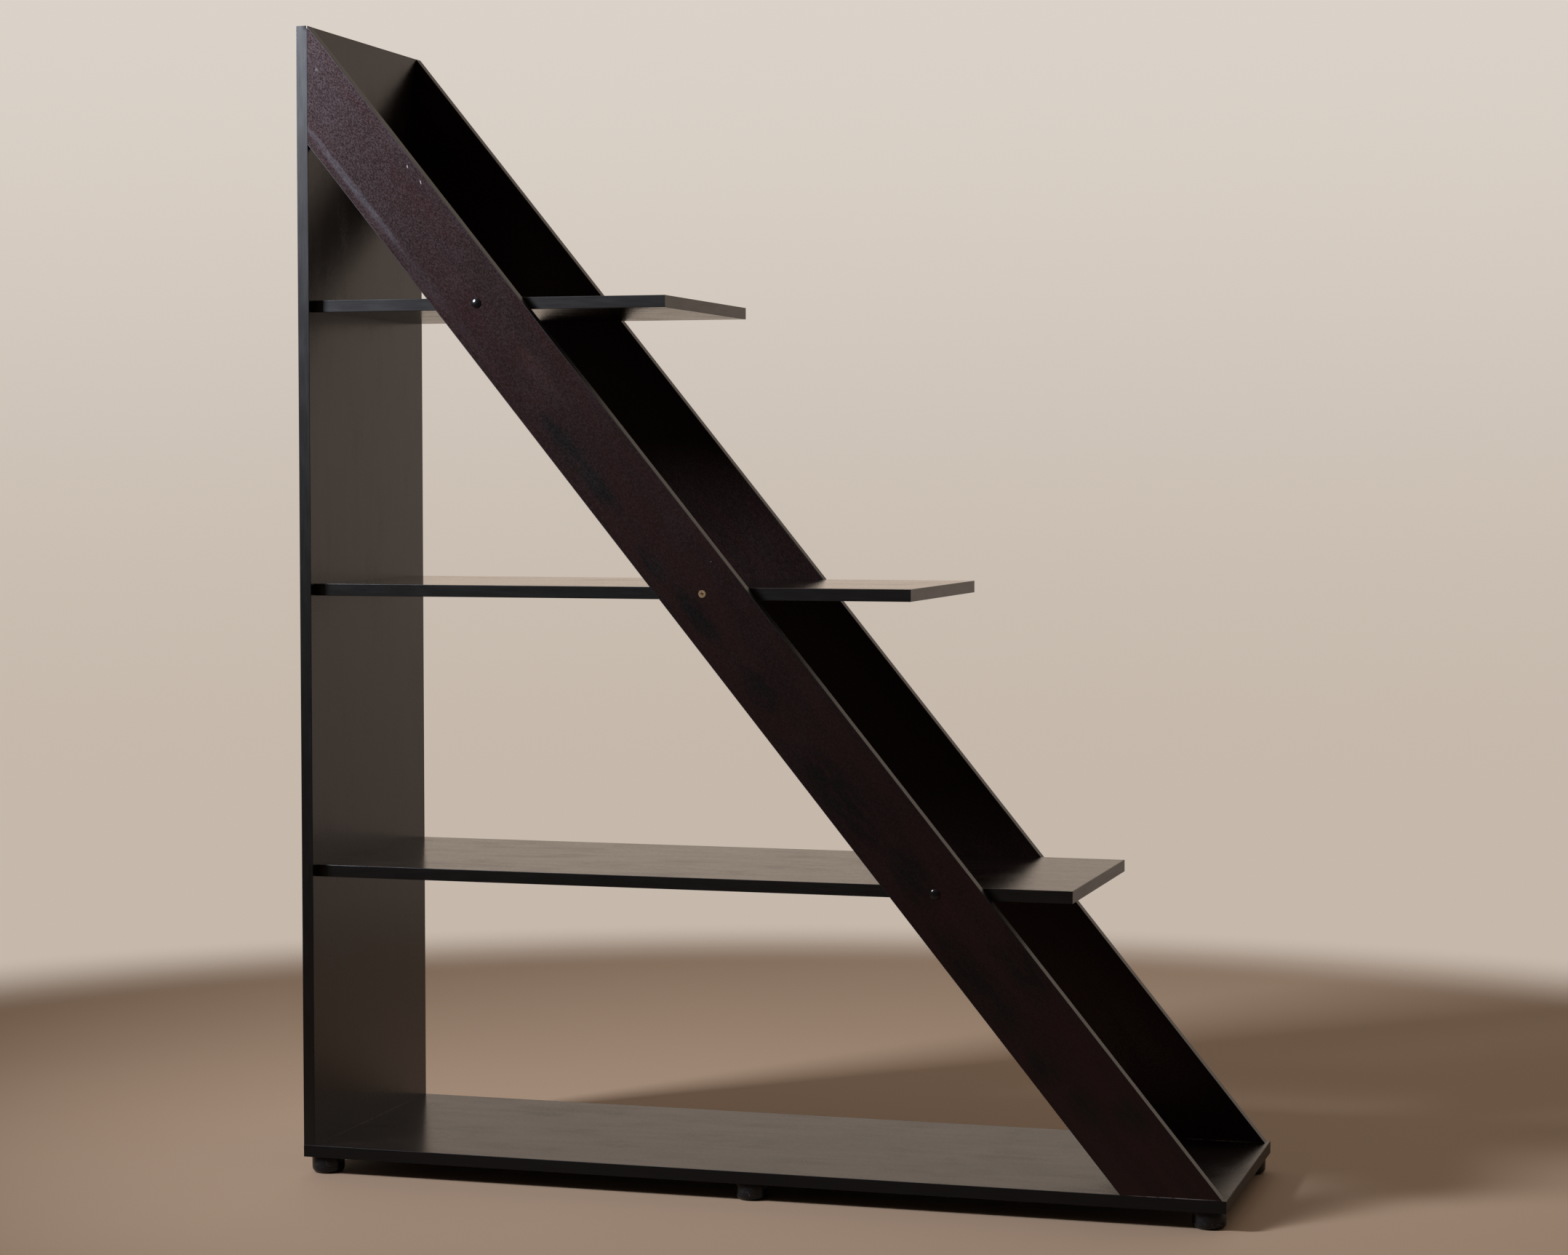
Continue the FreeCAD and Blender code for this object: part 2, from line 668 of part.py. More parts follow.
def build_foot(name, x, y):
    """A round plastic foot with a rounded lower edge and a sunk hole for its screw."""
    body = new_body(name)
    sketch = new_sketch(body, f"{name}_round", "XY_Plane")
    draw_circles(sketch, [("0", "0")], "foot_diameter")
    puck = pad(body, sketch, "foot_height")
    doc.recompute()
    tiny = measure("foot_edge_radius") / 10
    lower_rim = edges_where(puck.Shape, lambda point: abs(point.z) < tiny)
    round_edges(body, puck, lower_rim, "foot_edge_radius")
    drill(body, "recess", "XY_Plane", [("0", "0")], "foot_recess_diameter",
          "foot_height - foot_web", along_normal=True)
    drill(body, "bore", "XY_Plane", [("0", "0")], "foot_screw_hole", "foot_height",
          along_normal=True)
    place(body, f"left + {x}", f"front + {y}", "0")
    keep(body)


INTO_RIGHT = Rotation(Vector(0, 1, 0), 90)
INTO_REAR = Rotation(Vector(1, 0, 0), -90)
INTO_FRONT = Rotation(Vector(1, 0, 0), 90)
UPWARD = Rotation()


def repeat(name, pattern, spots):
    """Copies of a fastener's pattern, at bound places, as one group of separate solids."""
    links = []
    for number, (x, y, z, turn) in enumerate(spots, start=1):
        link = doc.addObject("App::Link", f"{name}_{number}")
        link.LinkedObject = pattern
        place(link, x, y, z, turn)
        links.append(link)
    group(name, links)


def shelf_spots(rows, start):
    """Places along the upright for what goes into the shelves' left ends."""
    return [(start, f"front + board_thickness + {y}", f"base_top + {shelf_mid(shelf)}", INTO_RIGHT)
            for shelf in SHELVES for y in rows]


def crossing_spots(shelves, y, turn):
    """Places on a diagonal's outer face where it crosses the middle of some shelves."""
    return [(f"inner_left + {centreline_place(shelf_mid(shelf))}", y,
             f"base_top + {shelf_mid(shelf)}", turn) for shelf in shelves]


def build_fasteners():
    """Every screw, cap and dowel of the unit, grouped by what they join."""
    screw = build_screw_pattern()
    cap = build_cap_pattern()
    dowel = build_dowel_pattern()
    foot_screw = build_foot_screw_pattern()
    upper_screws = [("left", f"front + {y}", "base_top + upper_screw_height", INTO_RIGHT)
                    for y in DIAGONAL_MIDS]
    lower_screws = [("inner_left + lower_screw_place", f"front + {y}", "foot_height", UPWARD)
                    for y in DIAGONAL_MIDS]
    repeat("front_diagonal_screws", screw, crossing_spots(SHELVES, "front", INTO_REAR))
    repeat("rear_diagonal_screws", screw, crossing_spots(SHELVES, "rear", INTO_FRONT))
    repeat("upright_to_shelf_screws", screw, shelf_spots(SHELF_SCREWS, "left"))
    repeat("upright_to_diagonal_screws", screw, upper_screws)
    repeat("base_to_upright_screws", screw,
           [("left + half_board", f"front + {y}", "foot_height", UPWARD) for y in UPRIGHT_SCREWS])
    repeat("base_to_diagonal_screws", screw, lower_screws)
    # the middle shelf's front screw has lost its cap
    capped = [shelf for shelf in SHELVES if shelf != "shelf_middle"]
    repeat("front_screw_caps", cap, crossing_spots(capped, "front", INTO_REAR))
    repeat("rear_screw_caps", cap, crossing_spots(SHELVES, "rear", INTO_FRONT))
    repeat("upright_screw_caps", cap, shelf_spots(SHELF_SCREWS, "left") + upper_screws)
    inside = "inner_left - dowel_face_depth"
    repeat("shelf_dowels", dowel, shelf_spots(SHELF_DOWELS, inside))
    in_base = "base_top - dowel_face_depth"
    repeat("upright_dowels", dowel,
           [("left + half_board", f"front + {y}", in_base, UPWARD) for y in UPRIGHT_DOWELS])
    repeat("diagonal_dowels", dowel,
           [(inside, f"front + {y}", "base_top + upper_dowel_height", INTO_RIGHT)
            for y in DIAGONAL_MIDS]
           + [("inner_left + lower_dowel_place", f"front + {y}", in_base, UPWARD)
              for y in DIAGONAL_MIDS])
    repeat("foot_screws", foot_screw,
           [(f"left + {x}", f"front + {y}",
             "foot_height - foot_web - foot_screw_head_height", UPWARD)
            for _, x in FOOT_PLACES for _, y in FOOT_ROWS])


def build_all():
    """Builds the boards, their banding, the feet and the fasteners."""
    build_base()
    build_upright()
    for shelf in SHELVES:
        build_shelf(shelf)
    build_diagonal("front_diagonal", True)
    build_diagonal("rear_diagonal", False)
    band_base()
    band_upright()
    for shelf in SHELVES:
        band_shelf(shelf)
    band_diagonal("front_diagonal", "front")
    band_diagonal("rear_diagonal", "rear - board_thickness")
    for row_name, y in FOOT_ROWS:
        for side, x in FOOT_PLACES:
            build_foot(f"foot_{row_name}_{side}", x, y)
    build_fasteners()
    doc.recompute()


def check_all():
    """Stops if any object failed, any cut removed nothing or any piece isn't sound."""
    for thing in doc.Objects:
        if "Invalid" in thing.State or "Error" in thing.State:
            raise RuntimeError(f"{thing.Name} failed: {thing.State}")
    for feature in cuts:
        if feature.Shape.Volume >= feature.BaseFeature.Shape.Volume:
            raise RuntimeError(f"{feature.Name} cuts nothing")
    for node in nodes:
        if node.Shape.isNull() or not node.Shape.isValid() or not node.Shape.Solids:
            raise RuntimeError(f"{node.Label} has no sound shape")


def write_all():
    """Writes one file for each piece, under its label."""
    os.makedirs("parts", exist_ok=True)
    for node in nodes:
        node.Shape.exportStep(f"parts/{node.Label}.step")
        print(f"{node.Label}: {len(node.Shape.Solids)} solids, {node.Shape.Volume:.0f} mm3")


build_all()
check_all()
write_all()
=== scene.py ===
"""Dresses a dark laminate shelving unit with the outline of a right-angled triangle.

The unit stands in the row frame, in metres: X along the shelves, Y from front to rear, Z up.
Boards keep the solids of the frame and get their laminate. Edge banding, feet, screws, caps
and dowels are new surfaces in the places that the frame gives.
"""
import logging
import math
from dataclasses import dataclass, field, replace
from enum import Enum
from typing import Any, Mapping, Sequence, Union

import bpy
import numpy as np
from mathutils import Matrix, Vector


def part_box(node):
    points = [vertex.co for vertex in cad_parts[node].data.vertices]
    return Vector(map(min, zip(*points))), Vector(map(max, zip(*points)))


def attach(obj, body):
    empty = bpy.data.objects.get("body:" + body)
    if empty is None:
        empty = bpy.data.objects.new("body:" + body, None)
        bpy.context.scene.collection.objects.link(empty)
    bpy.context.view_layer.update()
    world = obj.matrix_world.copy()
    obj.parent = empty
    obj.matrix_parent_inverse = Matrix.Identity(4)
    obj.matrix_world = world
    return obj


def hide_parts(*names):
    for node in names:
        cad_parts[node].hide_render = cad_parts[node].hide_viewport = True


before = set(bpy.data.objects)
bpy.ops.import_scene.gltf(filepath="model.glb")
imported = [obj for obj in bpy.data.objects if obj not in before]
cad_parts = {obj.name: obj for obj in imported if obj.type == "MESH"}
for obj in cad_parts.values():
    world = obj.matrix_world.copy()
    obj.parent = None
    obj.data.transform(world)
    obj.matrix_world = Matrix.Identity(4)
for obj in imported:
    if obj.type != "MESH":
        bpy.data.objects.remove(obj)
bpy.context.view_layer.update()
MM = 0.001
X, Y, Z = np.eye(3)
log = logging.getLogger("shelving_unit")

# The diagonals' rise and run, and the radius of the ring that closes a turned piece's middle
SLOPE_RISE, SLOPE_RUN = 1.500, 1.229
POLE = 0.02 * MM

Colour = tuple[float, float, float]
Point = tuple[float, float, float]
Span = tuple[float, float]
Array = np.ndarray
Place = tuple[Array, Array]


# Shader maths

class Shade:
    """A value that changes over a surface: sums written on it add Math nodes to its finish."""

    def __init__(self, recipe: "Recipe", socket: bpy.types.NodeSocket) -> None:
        """Wraps one output socket of a recipe's node tree."""
        self.recipe = recipe
        self.socket = socket

    def _math(self, operation: str, first: "Value", second: "Value" = 0.0) -> "Shade":
        """Adds one Math node."""
        return self.recipe.get("ShaderNodeMath", "Value", {"operation": operation},
                               {0: first, 1: second})

    def __add__(self, other: "Value") -> "Shade":
        """The sum of two values."""
        return self._math("ADD", self, other)

    def __radd__(self, other: float) -> "Shade":
        """The sum of a number and a value."""
        return self._math("ADD", other, self)

    def __sub__(self, other: "Value") -> "Shade":
        """The difference of two values."""
        return self._math("SUBTRACT", self, other)

    def __rsub__(self, other: float) -> "Shade":
        """A number less a value."""
        return self._math("SUBTRACT", other, self)

    def __mul__(self, other: "Value") -> "Shade":
        """The product of two values."""
        return self._math("MULTIPLY", self, other)

    def __rmul__(self, other: float) -> "Shade":
        """The product of a number and a value."""
        return self._math("MULTIPLY", other, self)

    def __truediv__(self, other: "Value") -> "Shade":
        """The quotient of two values."""
        return self._math("DIVIDE", self, other)

    def __abs__(self) -> "Shade":
        """The value without its sign."""
        return self._math("ABSOLUTE", self)

    def rise(self, low: float, high: float) -> "Shade":
        """0 below low, 1 above high and a smooth rise between them.

        Args:
            low: the value where the rise starts.
            high: the value where it ends, which may be less than low for a fall.

        Returns:
            The share of the rise.
        """
        return self.recipe.get("ShaderNodeMapRange", "Result",
                               {"interpolation_type": "SMOOTHSTEP"},
                               {"Value": self, "From Min": low, "From Max": high})


Value = Union[Shade, float]


@dataclass(frozen=True)
class Pattern:
    """Noise about 0.5: the size of one blob along the three axes, and how it is sharpened.

    The span holds the two values between which the noise rises from 0 to 1, and without one
    it stays as it is. Detail counts the finer layers, and roughness is how strong they are.
    """

    cell: Point
    span: Span | None = None
    detail: float = 2.0
    roughness: float = 0.5


class Recipe:
    """The node tree of one finish, or of the room's light, written as formulas."""

    def __init__(self, tree: bpy.types.NodeTree) -> None:
        """Empties the tree it is given."""
        self.tree = tree
        self.tree.nodes.clear()

    def add(self, kind: str, settings: Mapping[str, Any],
            inputs: Mapping[Union[str, int], Any]) -> bpy.types.Node:
        """Adds one node.

        Args:
            kind: the node's type.
            settings: properties of the node, which are set first.
            inputs: numbers, colours or Shades for its sockets, by name or number.

        Returns:
            The new node.
        """
        node = self.tree.nodes.new(kind)
        for name, value in settings.items():
            setattr(node, name, value)
        for key, value in inputs.items():
            if isinstance(value, Shade):
                self.tree.links.new(value.socket, node.inputs[key])
            else:
                node.inputs[key].default_value = value
        return node

    def get(self, kind: str, output: Union[str, int], settings: Mapping[str, Any],
            inputs: Mapping[Union[str, int], Any]) -> Shade:
        """Adds one node and gives one of its outputs as a Shade."""
        return Shade(self, self.add(kind, settings, inputs).outputs[output])

    def mix(self, amount: Value, first: Any, second: Any) -> Shade:
        """A colour between two colours: the first where amount is 0, the second where it is 1."""
        first, second = ((*c, 1.0) if isinstance(c, tuple) else c for c in (first, second))
        return self.get("ShaderNodeMix", 2, {"data_type": "RGBA"}, {0: amount, 6: first, 7: second})

    def vector(self, operation: str, first: Any, second: Any) -> Shade:
        """Adds one Vector Math node."""
        return self.get("ShaderNodeVectorMath", "Vector", {"operation": operation},
                        {0: first, 1: second})

    def parts(self, vector: Shade) -> tuple[Shade, ...]:
        """The three components of a vector."""
        node = self.add("ShaderNodeSeparateXYZ", {}, {0: vector})
        return tuple(Shade(self, output) for output in node.outputs)

    def place(self) -> Shade:
        """The point of the surface in the row frame."""
        return self.get("ShaderNodeTexCoord", "Object", {}, {})

    def attribute(self, name: str, output: str) -> Shade:
        """A value that the points of the surface carry under a name."""
        return self.get("ShaderNodeAttribute", output, {"attribute_name": name}, {})

    def noise(self, place: Shade, pattern: Pattern) -> Shade:
        """Smooth noise, sharpened where its pattern says so.

        Args:
            place: the point that the noise reads.
            pattern: the noise's measures.

        Returns:
            The noise.
        """
        noise = self.get("ShaderNodeTexNoise", 0, {},
                         {"Vector": self.vector("DIVIDE", place, pattern.cell), "Scale": 1.0,
                          "Detail": pattern.detail, "Roughness": pattern.roughness})
        return noise.rise(*pattern.span) if pattern.span else noise

    def specks(self, place: Shade, spacing: float, radius: float, share: float) -> Shade:
        """1 in scattered round specks and 0 between them.

        Args:
            place: the point that the pattern reads.
            spacing: the mean distance from one cell to the next, in metres.
            radius: the largest radius of a speck, in metres.
            share: the share of cells that hold a speck.

        Returns:
            The mask of the specks.
        """
        cells = self.add("ShaderNodeTexVoronoi", {},
                         {"Vector": self.vector("DIVIDE", place, (spacing,) * 3), "Scale": 1.0})
        near, chance = Shade(self, cells.outputs["Distance"]), Shade(self, cells.outputs["Color"])
        largest = radius / spacing
        soft_rim = 0.3 * largest
        reach = (self.parts(chance)[0] - (1.0 - share)) * (largest / share)
        return (reach - near).rise(0.0, soft_rim)

    def bump(self, height: Shade, depth: float) -> Shade:
        """A normal that leans with a height pattern of that depth, in metres."""
        return self.get("ShaderNodeBump", "Normal", {}, {"Height": height, "Distance": depth})

    def surface(self, **inputs: Any) -> None:
        """Ends the tree in a Principled surface.

        Args:
            inputs: values for its sockets, by their names with underscores for spaces.
        """
        named = {name.replace("_", " "): (*value, 1.0) if isinstance(value, tuple) else value
                 for name, value in inputs.items()}
        shader = self.add("ShaderNodeBsdfPrincipled", {}, named)
        self.add("ShaderNodeOutputMaterial", {}, {"Surface": Shade(self, shader.outputs[0])})


# Finishes

class Finish:
    """A finish that fills the recipe of a new material."""

    def material(self, name: str) -> bpy.types.Material:
        """The finish as a material.

        Args:
            name: the material's name.

        Returns:
            The new material.
        """
        material = bpy.data.materials.new(name)
        material.use_nodes = True
        self.paint(Recipe(material.node_tree))
        return material

    def paint(self, recipe: Recipe) -> None:
        """Fills the recipe, which each finish does in its own way."""
        raise NotImplementedError


class Grain(Enum):
    """How a board's grain runs: its turn about Y, and the axis across it after that turn."""

    ALONG_SHELF = (0.0, 1)
    UP_PANEL = (math.radians(90), 1)
    DOWN_SLOPE = (-math.atan2(SLOPE_RISE, SLOPE_RUN), 2)


@dataclass(frozen=True)
class Mark:
    """A fleck, stain, streak or band of painted sheen on a board's outer face, as an ellipse about
    its place.

    Its place is measured along and across the board from the board's corner. Its strength is
    the share of its colour at the middle, soft is the share of its radius over which it fades,
    and tilt is its turn in radians.
    """

    along: float
    across: float
    length: float
    width: float
    colour: Colour
    strength: float
    soft: float = 1.0
    tilt: float = 0.0

    @staticmethod
    def at(millimetres: Sequence[float], colour: Colour, strength: float, soft: float = 1.0,
           tilt: float = 0.0) -> "Mark":
        """A mark from its distance along, distance across, length and width in millimetres."""
        return Mark(*(size * MM for size in millimetres), colour, strength, soft, tilt)

    def spot(self, along: Shade, across: Shade) -> Shade:
        """The mark's strength at a point of the board.

        The point's distances from the mark's place are turned by the tilt and divided by half
        the length and half the width. The sum of their squares is 1 on the rim.

        Args:
            along: the point's distance along the board.
            across: its distance across the board.

        Returns:
            The strength inside the ellipse, which falls softly to 0 at its rim.
        """
        cosine, sine = math.cos(self.tilt), math.sin(self.tilt)
        right, down = along - self.along, across - self.across
        first = (right * cosine + down * sine) / (self.length / 2)
        second = (down * cosine - right * sine) / (self.width / 2)
        return (first * first + second * second).rise(1.0, 1.0 - self.soft) * self.strength


@dataclass(frozen=True)
class Laminate(Finish):
    """Printed dark laminate: fine broken grain, slow clouds of brown and black, a dull gloss."""

    grain: Grain
    seed: float
    marks: tuple[Mark, ...] = ()
    corner: Point = (0.0, 0.0, 0.0)
    black: Colour = (0.0018, 0.0013, 0.0011)
    brown: Colour = (0.0056, 0.0033, 0.0027)
    gloss_tint: Colour = (1.0, 1.0, 1.0)
    gloss_roughness: float = 0.245
    ior: float = 1.206
    cloud_share: float = 0.75
    fine_share: float = 0.25
    fine_roughness: float = 0.05
    smudge_roughness: float = 0.04
    cloud_gloss: float = 0.02
    cloth_roughness: float = 0.0
    grain_depth: float = 0.02 * MM
    face_depth: Span = (9 * MM, 7 * MM)
    fine: Pattern = Pattern((5 * MM, 1.3 * MM, 1.3 * MM), (0.36, 0.66), 2.0, 0.6)
    cloud: Pattern = Pattern((130 * MM, 20 * MM, 20 * MM), (0.35, 0.65), 3.0)
    smudge: Pattern = Pattern((90 * MM, 60 * MM, 60 * MM), (0.45, 0.75))
    cloth: Pattern = Pattern((2.7 * MM, 2 * MM, 2 * MM), (0.34, 0.66), 5.0, 0.85)
    wear: Pattern = Pattern((30 * MM, 6 * MM, 6 * MM), (0.25, 0.6), 3.0, 0.6)

    def paint(self, recipe: Recipe) -> None:
        """The laminate, whose patterns and marks follow the board's grain from its corner.

        The colour runs from black to brown with the clouds and the fine grain, and each mark is
        laid over it on the outer face. The roughness is the board's own plus a share of each
        pattern.

        Args:
            recipe: the recipe to fill.
        """
        turn, sideways = self.grain.value
        offset = recipe.vector("SUBTRACT", recipe.place(), self.corner)
        turned_place = recipe.get("ShaderNodeMapping", "Vector", {},
                                  {"Vector": offset, "Rotation": (0.0, turn, 0.0)})
        spread = recipe.parts(turned_place)
        along, across, behind = spread[0], abs(spread[sideways]), abs(spread[3 - sideways])
        shifted = recipe.vector("ADD", turned_place, (self.seed, self.seed / 3, self.seed / 7))
        fine, cloud, smudge, cloth, wear = (
            recipe.noise(shifted, pattern)
            for pattern in (self.fine, self.cloud, self.smudge, self.cloth, self.wear))
        shade = 0.5 + self.cloud_share * (cloud - 0.5) + self.fine_share * (fine - 0.5)
        base = recipe.mix(shade, self.black, self.brown)
        face = behind.rise(*self.face_depth) * wear
        for mark in self.marks:
            base = recipe.mix(mark.spot(along, across) * face, base, mark.colour)
        roughness = (self.gloss_roughness + self.fine_roughness * fine
                     + self.smudge_roughness * smudge - self.cloud_gloss * cloud
                     + self.cloth_roughness * (cloth - 0.5))
        recipe.surface(Base_Color=base, Roughness=roughness, IOR=self.ior,
                       Specular_Tint=self.gloss_tint, Normal=recipe.bump(fine, self.grain_depth))


@dataclass(frozen=True)
class Banding(Finish):
    """Thin plastic edge banding: nearly black, drawn lengthwise, pale where it is chipped."""

    black: Colour = (0.0010, 0.0009, 0.0008)
    brown: Colour = (0.0022, 0.0016, 0.0013)
    bare: Colour = (0.60, 0.57, 0.52)
    gloss_roughness: float = 0.30
    pattern_roughness: float = 0.03
    ior: float = 1.40
    line_depth: float = 0.01 * MM
    chip_edge: Span = (0.45, 0.55)
    lines: Pattern = Pattern((60 * MM, 0.5 * MM, 0.5 * MM), (0.35, 0.65))
    haze: Pattern = Pattern((45 * MM, 12 * MM, 12 * MM), (0.35, 0.7), 3.0)

    def paint(self, recipe: Recipe) -> None:
        """The banding, whose patterns follow each strip by the point attribute "grain".

        Args:
            recipe: the recipe to fill.
        """
        place = recipe.attribute("grain", "Vector")
        lines, haze = recipe.noise(place, self.lines), recipe.noise(place, self.haze)
        base = recipe.mix(lines, self.black, self.brown)
        base = recipe.mix(recipe.attribute("chip", "Fac").rise(*self.chip_edge), base, self.bare)
        recipe.surface(Base_Color=base, IOR=self.ior,
                       Roughness=self.gloss_roughness + self.pattern_roughness * (lines + haze),
                       Normal=recipe.bump(lines, self.line_depth))


@dataclass(frozen=True)
class FootPlastic(Finish):
    """Moulded black plastic, scuffed and dusty low on its sides."""

    black: Colour = (0.004, 0.004, 0.0045)
    scuffed: Colour = (0.22, 0.23, 0.23)
    scuff_share: float = 0.55
    scuff_heights: Span = (18 * MM, 6 * MM)
    scuff_high_up: float = 0.35
    gloss_roughness: float = 0.22
    scuff_roughness: float = 0.3
    patch_roughness: float = 0.06
    ior: float = 1.34
    scratch_depth: float = 0.03 * MM
    scratch: Pattern = Pattern((1.2 * MM, 1.2 * MM, 3.5 * MM), (0.55, 0.72), 4.0, 0.7)
    patch: Pattern = Pattern((16 * MM, 16 * MM, 10 * MM), (0.42, 0.62))

    def paint(self, recipe: Recipe) -> None:
        """The feet's plastic: scratches in patches, which fade with the height from the floor.

        Args:
            recipe: the recipe to fill.
        """
        point = recipe.place()
        low = recipe.parts(point)[2].rise(*self.scuff_heights)
        scratch, patch = recipe.noise(point, self.scratch), recipe.noise(point, self.patch)
        scuff = scratch * patch * (self.scuff_high_up + (1.0 - self.scuff_high_up) * low)
        roughness = (self.gloss_roughness + self.scuff_roughness * scuff
                     + self.patch_roughness * patch)
        recipe.surface(Base_Color=recipe.mix(scuff * self.scuff_share, self.black, self.scuffed),
                       Roughness=roughness, IOR=self.ior,
                       Normal=recipe.bump(scratch, self.scratch_depth))


@dataclass(frozen=True)
class CapPlastic(Finish):
    """Glossy black plastic with the faint ripple of a small moulding, and specks of dust."""

    black: Colour = (0.002, 0.002, 0.0022)
    dust: Colour = (0.3, 0.3, 0.3)
    dust_share: float = 0.3
    dust_spacing: float = 1.5 * MM
    dust_radius: float = 0.12 * MM
    dusty_cells: float = 0.3
    gloss_roughness: float = 0.13
    ripple_roughness: float = 0.1
    ior: float = 1.38
    ripple_depth: float = 0.03 * MM
    ripple: Pattern = Pattern((3 * MM, 3 * MM, 3 * MM))

    def paint(self, recipe: Recipe) -> None:
        """The screw caps' plastic: the ripple leans the gloss, and the dust lies in specks.

        Args:
            recipe: the recipe to fill.
        """
        point = recipe.place()
        ripple = recipe.noise(point, self.ripple)
        dust = recipe.specks(point, self.dust_spacing, self.dust_radius, self.dusty_cells)
        recipe.surface(Base_Color=recipe.mix(dust * self.dust_share, self.black, self.dust),
                       Roughness=self.gloss_roughness + self.ripple_roughness * ripple,
                       IOR=self.ior, Normal=recipe.bump(ripple, self.ripple_depth))


@dataclass(frozen=True)
class PlatedSteel(Finish):
    """Yellowish zinc plating, dull and finely scratched."""

    bright: Colour = (0.54, 0.40, 0.23)
    dull: Colour = (0.24, 0.17, 0.09)
    gloss_roughness: float = 0.28
    tarnish_roughness: float = 0.15
    scratch_roughness: float = 0.05
    scratch_depth: float = 0.01 * MM
    tarnish: Pattern = Pattern((2 * MM, 2 * MM, 2 * MM), (0.35, 0.65), 3.0)
    scratch: Pattern = Pattern((2 * MM, 0.2 * MM, 0.2 * MM), (0.4, 0.6))

    def paint(self, recipe: Recipe) -> None:
        """The screws' plated steel, which is duller and rougher where it is tarnished.

        Args:
            recipe: the recipe to fill.
        """
        point = recipe.place()
        tarnish, scratch = recipe.noise(point, self.tarnish), recipe.noise(point, self.scratch)
        roughness = (self.gloss_roughness + self.tarnish_roughness * tarnish
                     + self.scratch_roughness * scratch)
        recipe.surface(Base_Color=recipe.mix(tarnish, self.bright, self.dull), Metallic=1.0,
                       Roughness=roughness, Normal=recipe.bump(scratch, self.scratch_depth))


@dataclass(frozen=True)
class BeechRod(Finish):
    """Plain beech with short dark pores along the rod."""

    pale: Colour = (0.62, 0.43, 0.25)
    dark: Colour = (0.44, 0.27, 0.14)
    ring_share: float = 0.6
    pore_share: float = 0.4
    plain_roughness: float = 0.62
    pore_roughness: float = 0.1
    pore_depth: float = 0.02 * MM
    rings: Pattern = Pattern((1.5 * MM, 1.5 * MM, 30 * MM), (0.35, 0.7))
    pores: Pattern = Pattern((0.15 * MM, 0.15 * MM, 1.5 * MM), (0.55, 0.7), 1.0)

    def paint(self, recipe: Recipe) -> None:
        """The dowels' wood, whose patterns follow each rod by the point attribute "grain".

        Args:
            recipe: the recipe to fill.
        """
        place = recipe.attribute("grain", "Vector")
        rings, pores = recipe.noise(place, self.rings), recipe.noise(place, self.pores)
        shade = rings * self.ring_share + pores * self.pore_share
        recipe.surface(Base_Color=recipe.mix(shade, self.pale, self.dark),
                       Roughness=self.plain_roughness + self.pore_roughness * pores,
                       Normal=recipe.bump(pores, self.pore_depth))


@dataclass(frozen=True)
class FloorPaint(Finish):
    """Plain tan paint, faintly mottled, that fades out with the distance from the middle."""

    colour: Colour = (0.262, 0.182, 0.118)
    lighter: float = 1.06
    roughness: float = 0.75
    fade: Span = (2.5, 1.9)
    mottle: Pattern = Pattern((0.35, 0.35, 0.35), detail=4.0)

    def paint(self, recipe: Recipe) -> None:
        """The floor's paint, whose alpha falls with the distance from the frame's origin.

        Args:
            recipe: the recipe to fill.
        """
        place = recipe.place()
        reach = recipe.get("ShaderNodeVectorMath", "Value", {"operation": "LENGTH"}, {0: place})
        lighter = tuple(channel * self.lighter for channel in self.colour)
        base = recipe.mix(recipe.noise(place, self.mottle), self.colour, lighter)
        recipe.surface(Base_Color=base, Roughness=self.roughness, Alpha=reach.rise(*self.fade))


# Surfaces

@dataclass
class Shell:
    """A closed surface: its points, its faces, the way of its grain and its chips."""

    points: Array
    faces: list[list[int]]
    grain: Array
    chips: Array

    @staticmethod
    def of(points: Array, faces: list[list[int]]) -> "Shell":
        """A shell with its grain along its own axes and no chips."""
        return Shell(points, faces, points.copy(), np.zeros(len(points)))

    @staticmethod
    def joined(shells: Sequence["Shell"]) -> "Shell":
        """Several shells as one, still separate in space.

        Args:
            shells: the shells, whose point numbers are raised by the points before them.

        Returns:
            The one shell.
        """
        starts = np.cumsum([0] + [len(shell.points) for shell in shells])
        faces = [[int(start) + corner for corner in face]
                 for shell, start in zip(shells, starts) for face in shell.faces]
        return Shell(np.concatenate([shell.points for shell in shells]), faces,
                     np.concatenate([shell.grain for shell in shells]),
                     np.concatenate([shell.chips for shell in shells]))

    def placed(self, origin: Array, pointing: Array) -> "Shell":
        """A copy of the shell that is turned and moved, with its faces kept.

        Args:
            origin: the point where its own origin goes.
            pointing: the axis of the frame along which its own Z points.

        Returns:
            The moved shell.
        """
        side = Z if pointing[2] == 0 else X
        axes = np.stack([np.cross(side, pointing), side, pointing])
        return Shell(self.points @ axes + origin, self.faces, self.grain + origin, self.chips)

    def outward(self) -> "Shell":
        """Points the faces out.

        The volume that the shell encloses is a sixth of the sum of a . (b x c) over its
        triangles, and it is negative where they point in.

        Returns:
            The same shell.
        """
        triangles = np.array([(face[0], face[k], face[k + 1])
                              for face in self.faces for k in range(1, len(face) - 1)])
        a, b, c = (self.points[triangles[:, k]] for k in range(3))
        if np.einsum("ij,ij->i", a, np.cross(b, c)).sum() < 0:
            self.faces = [face[::-1] for face in self.faces]
        return self


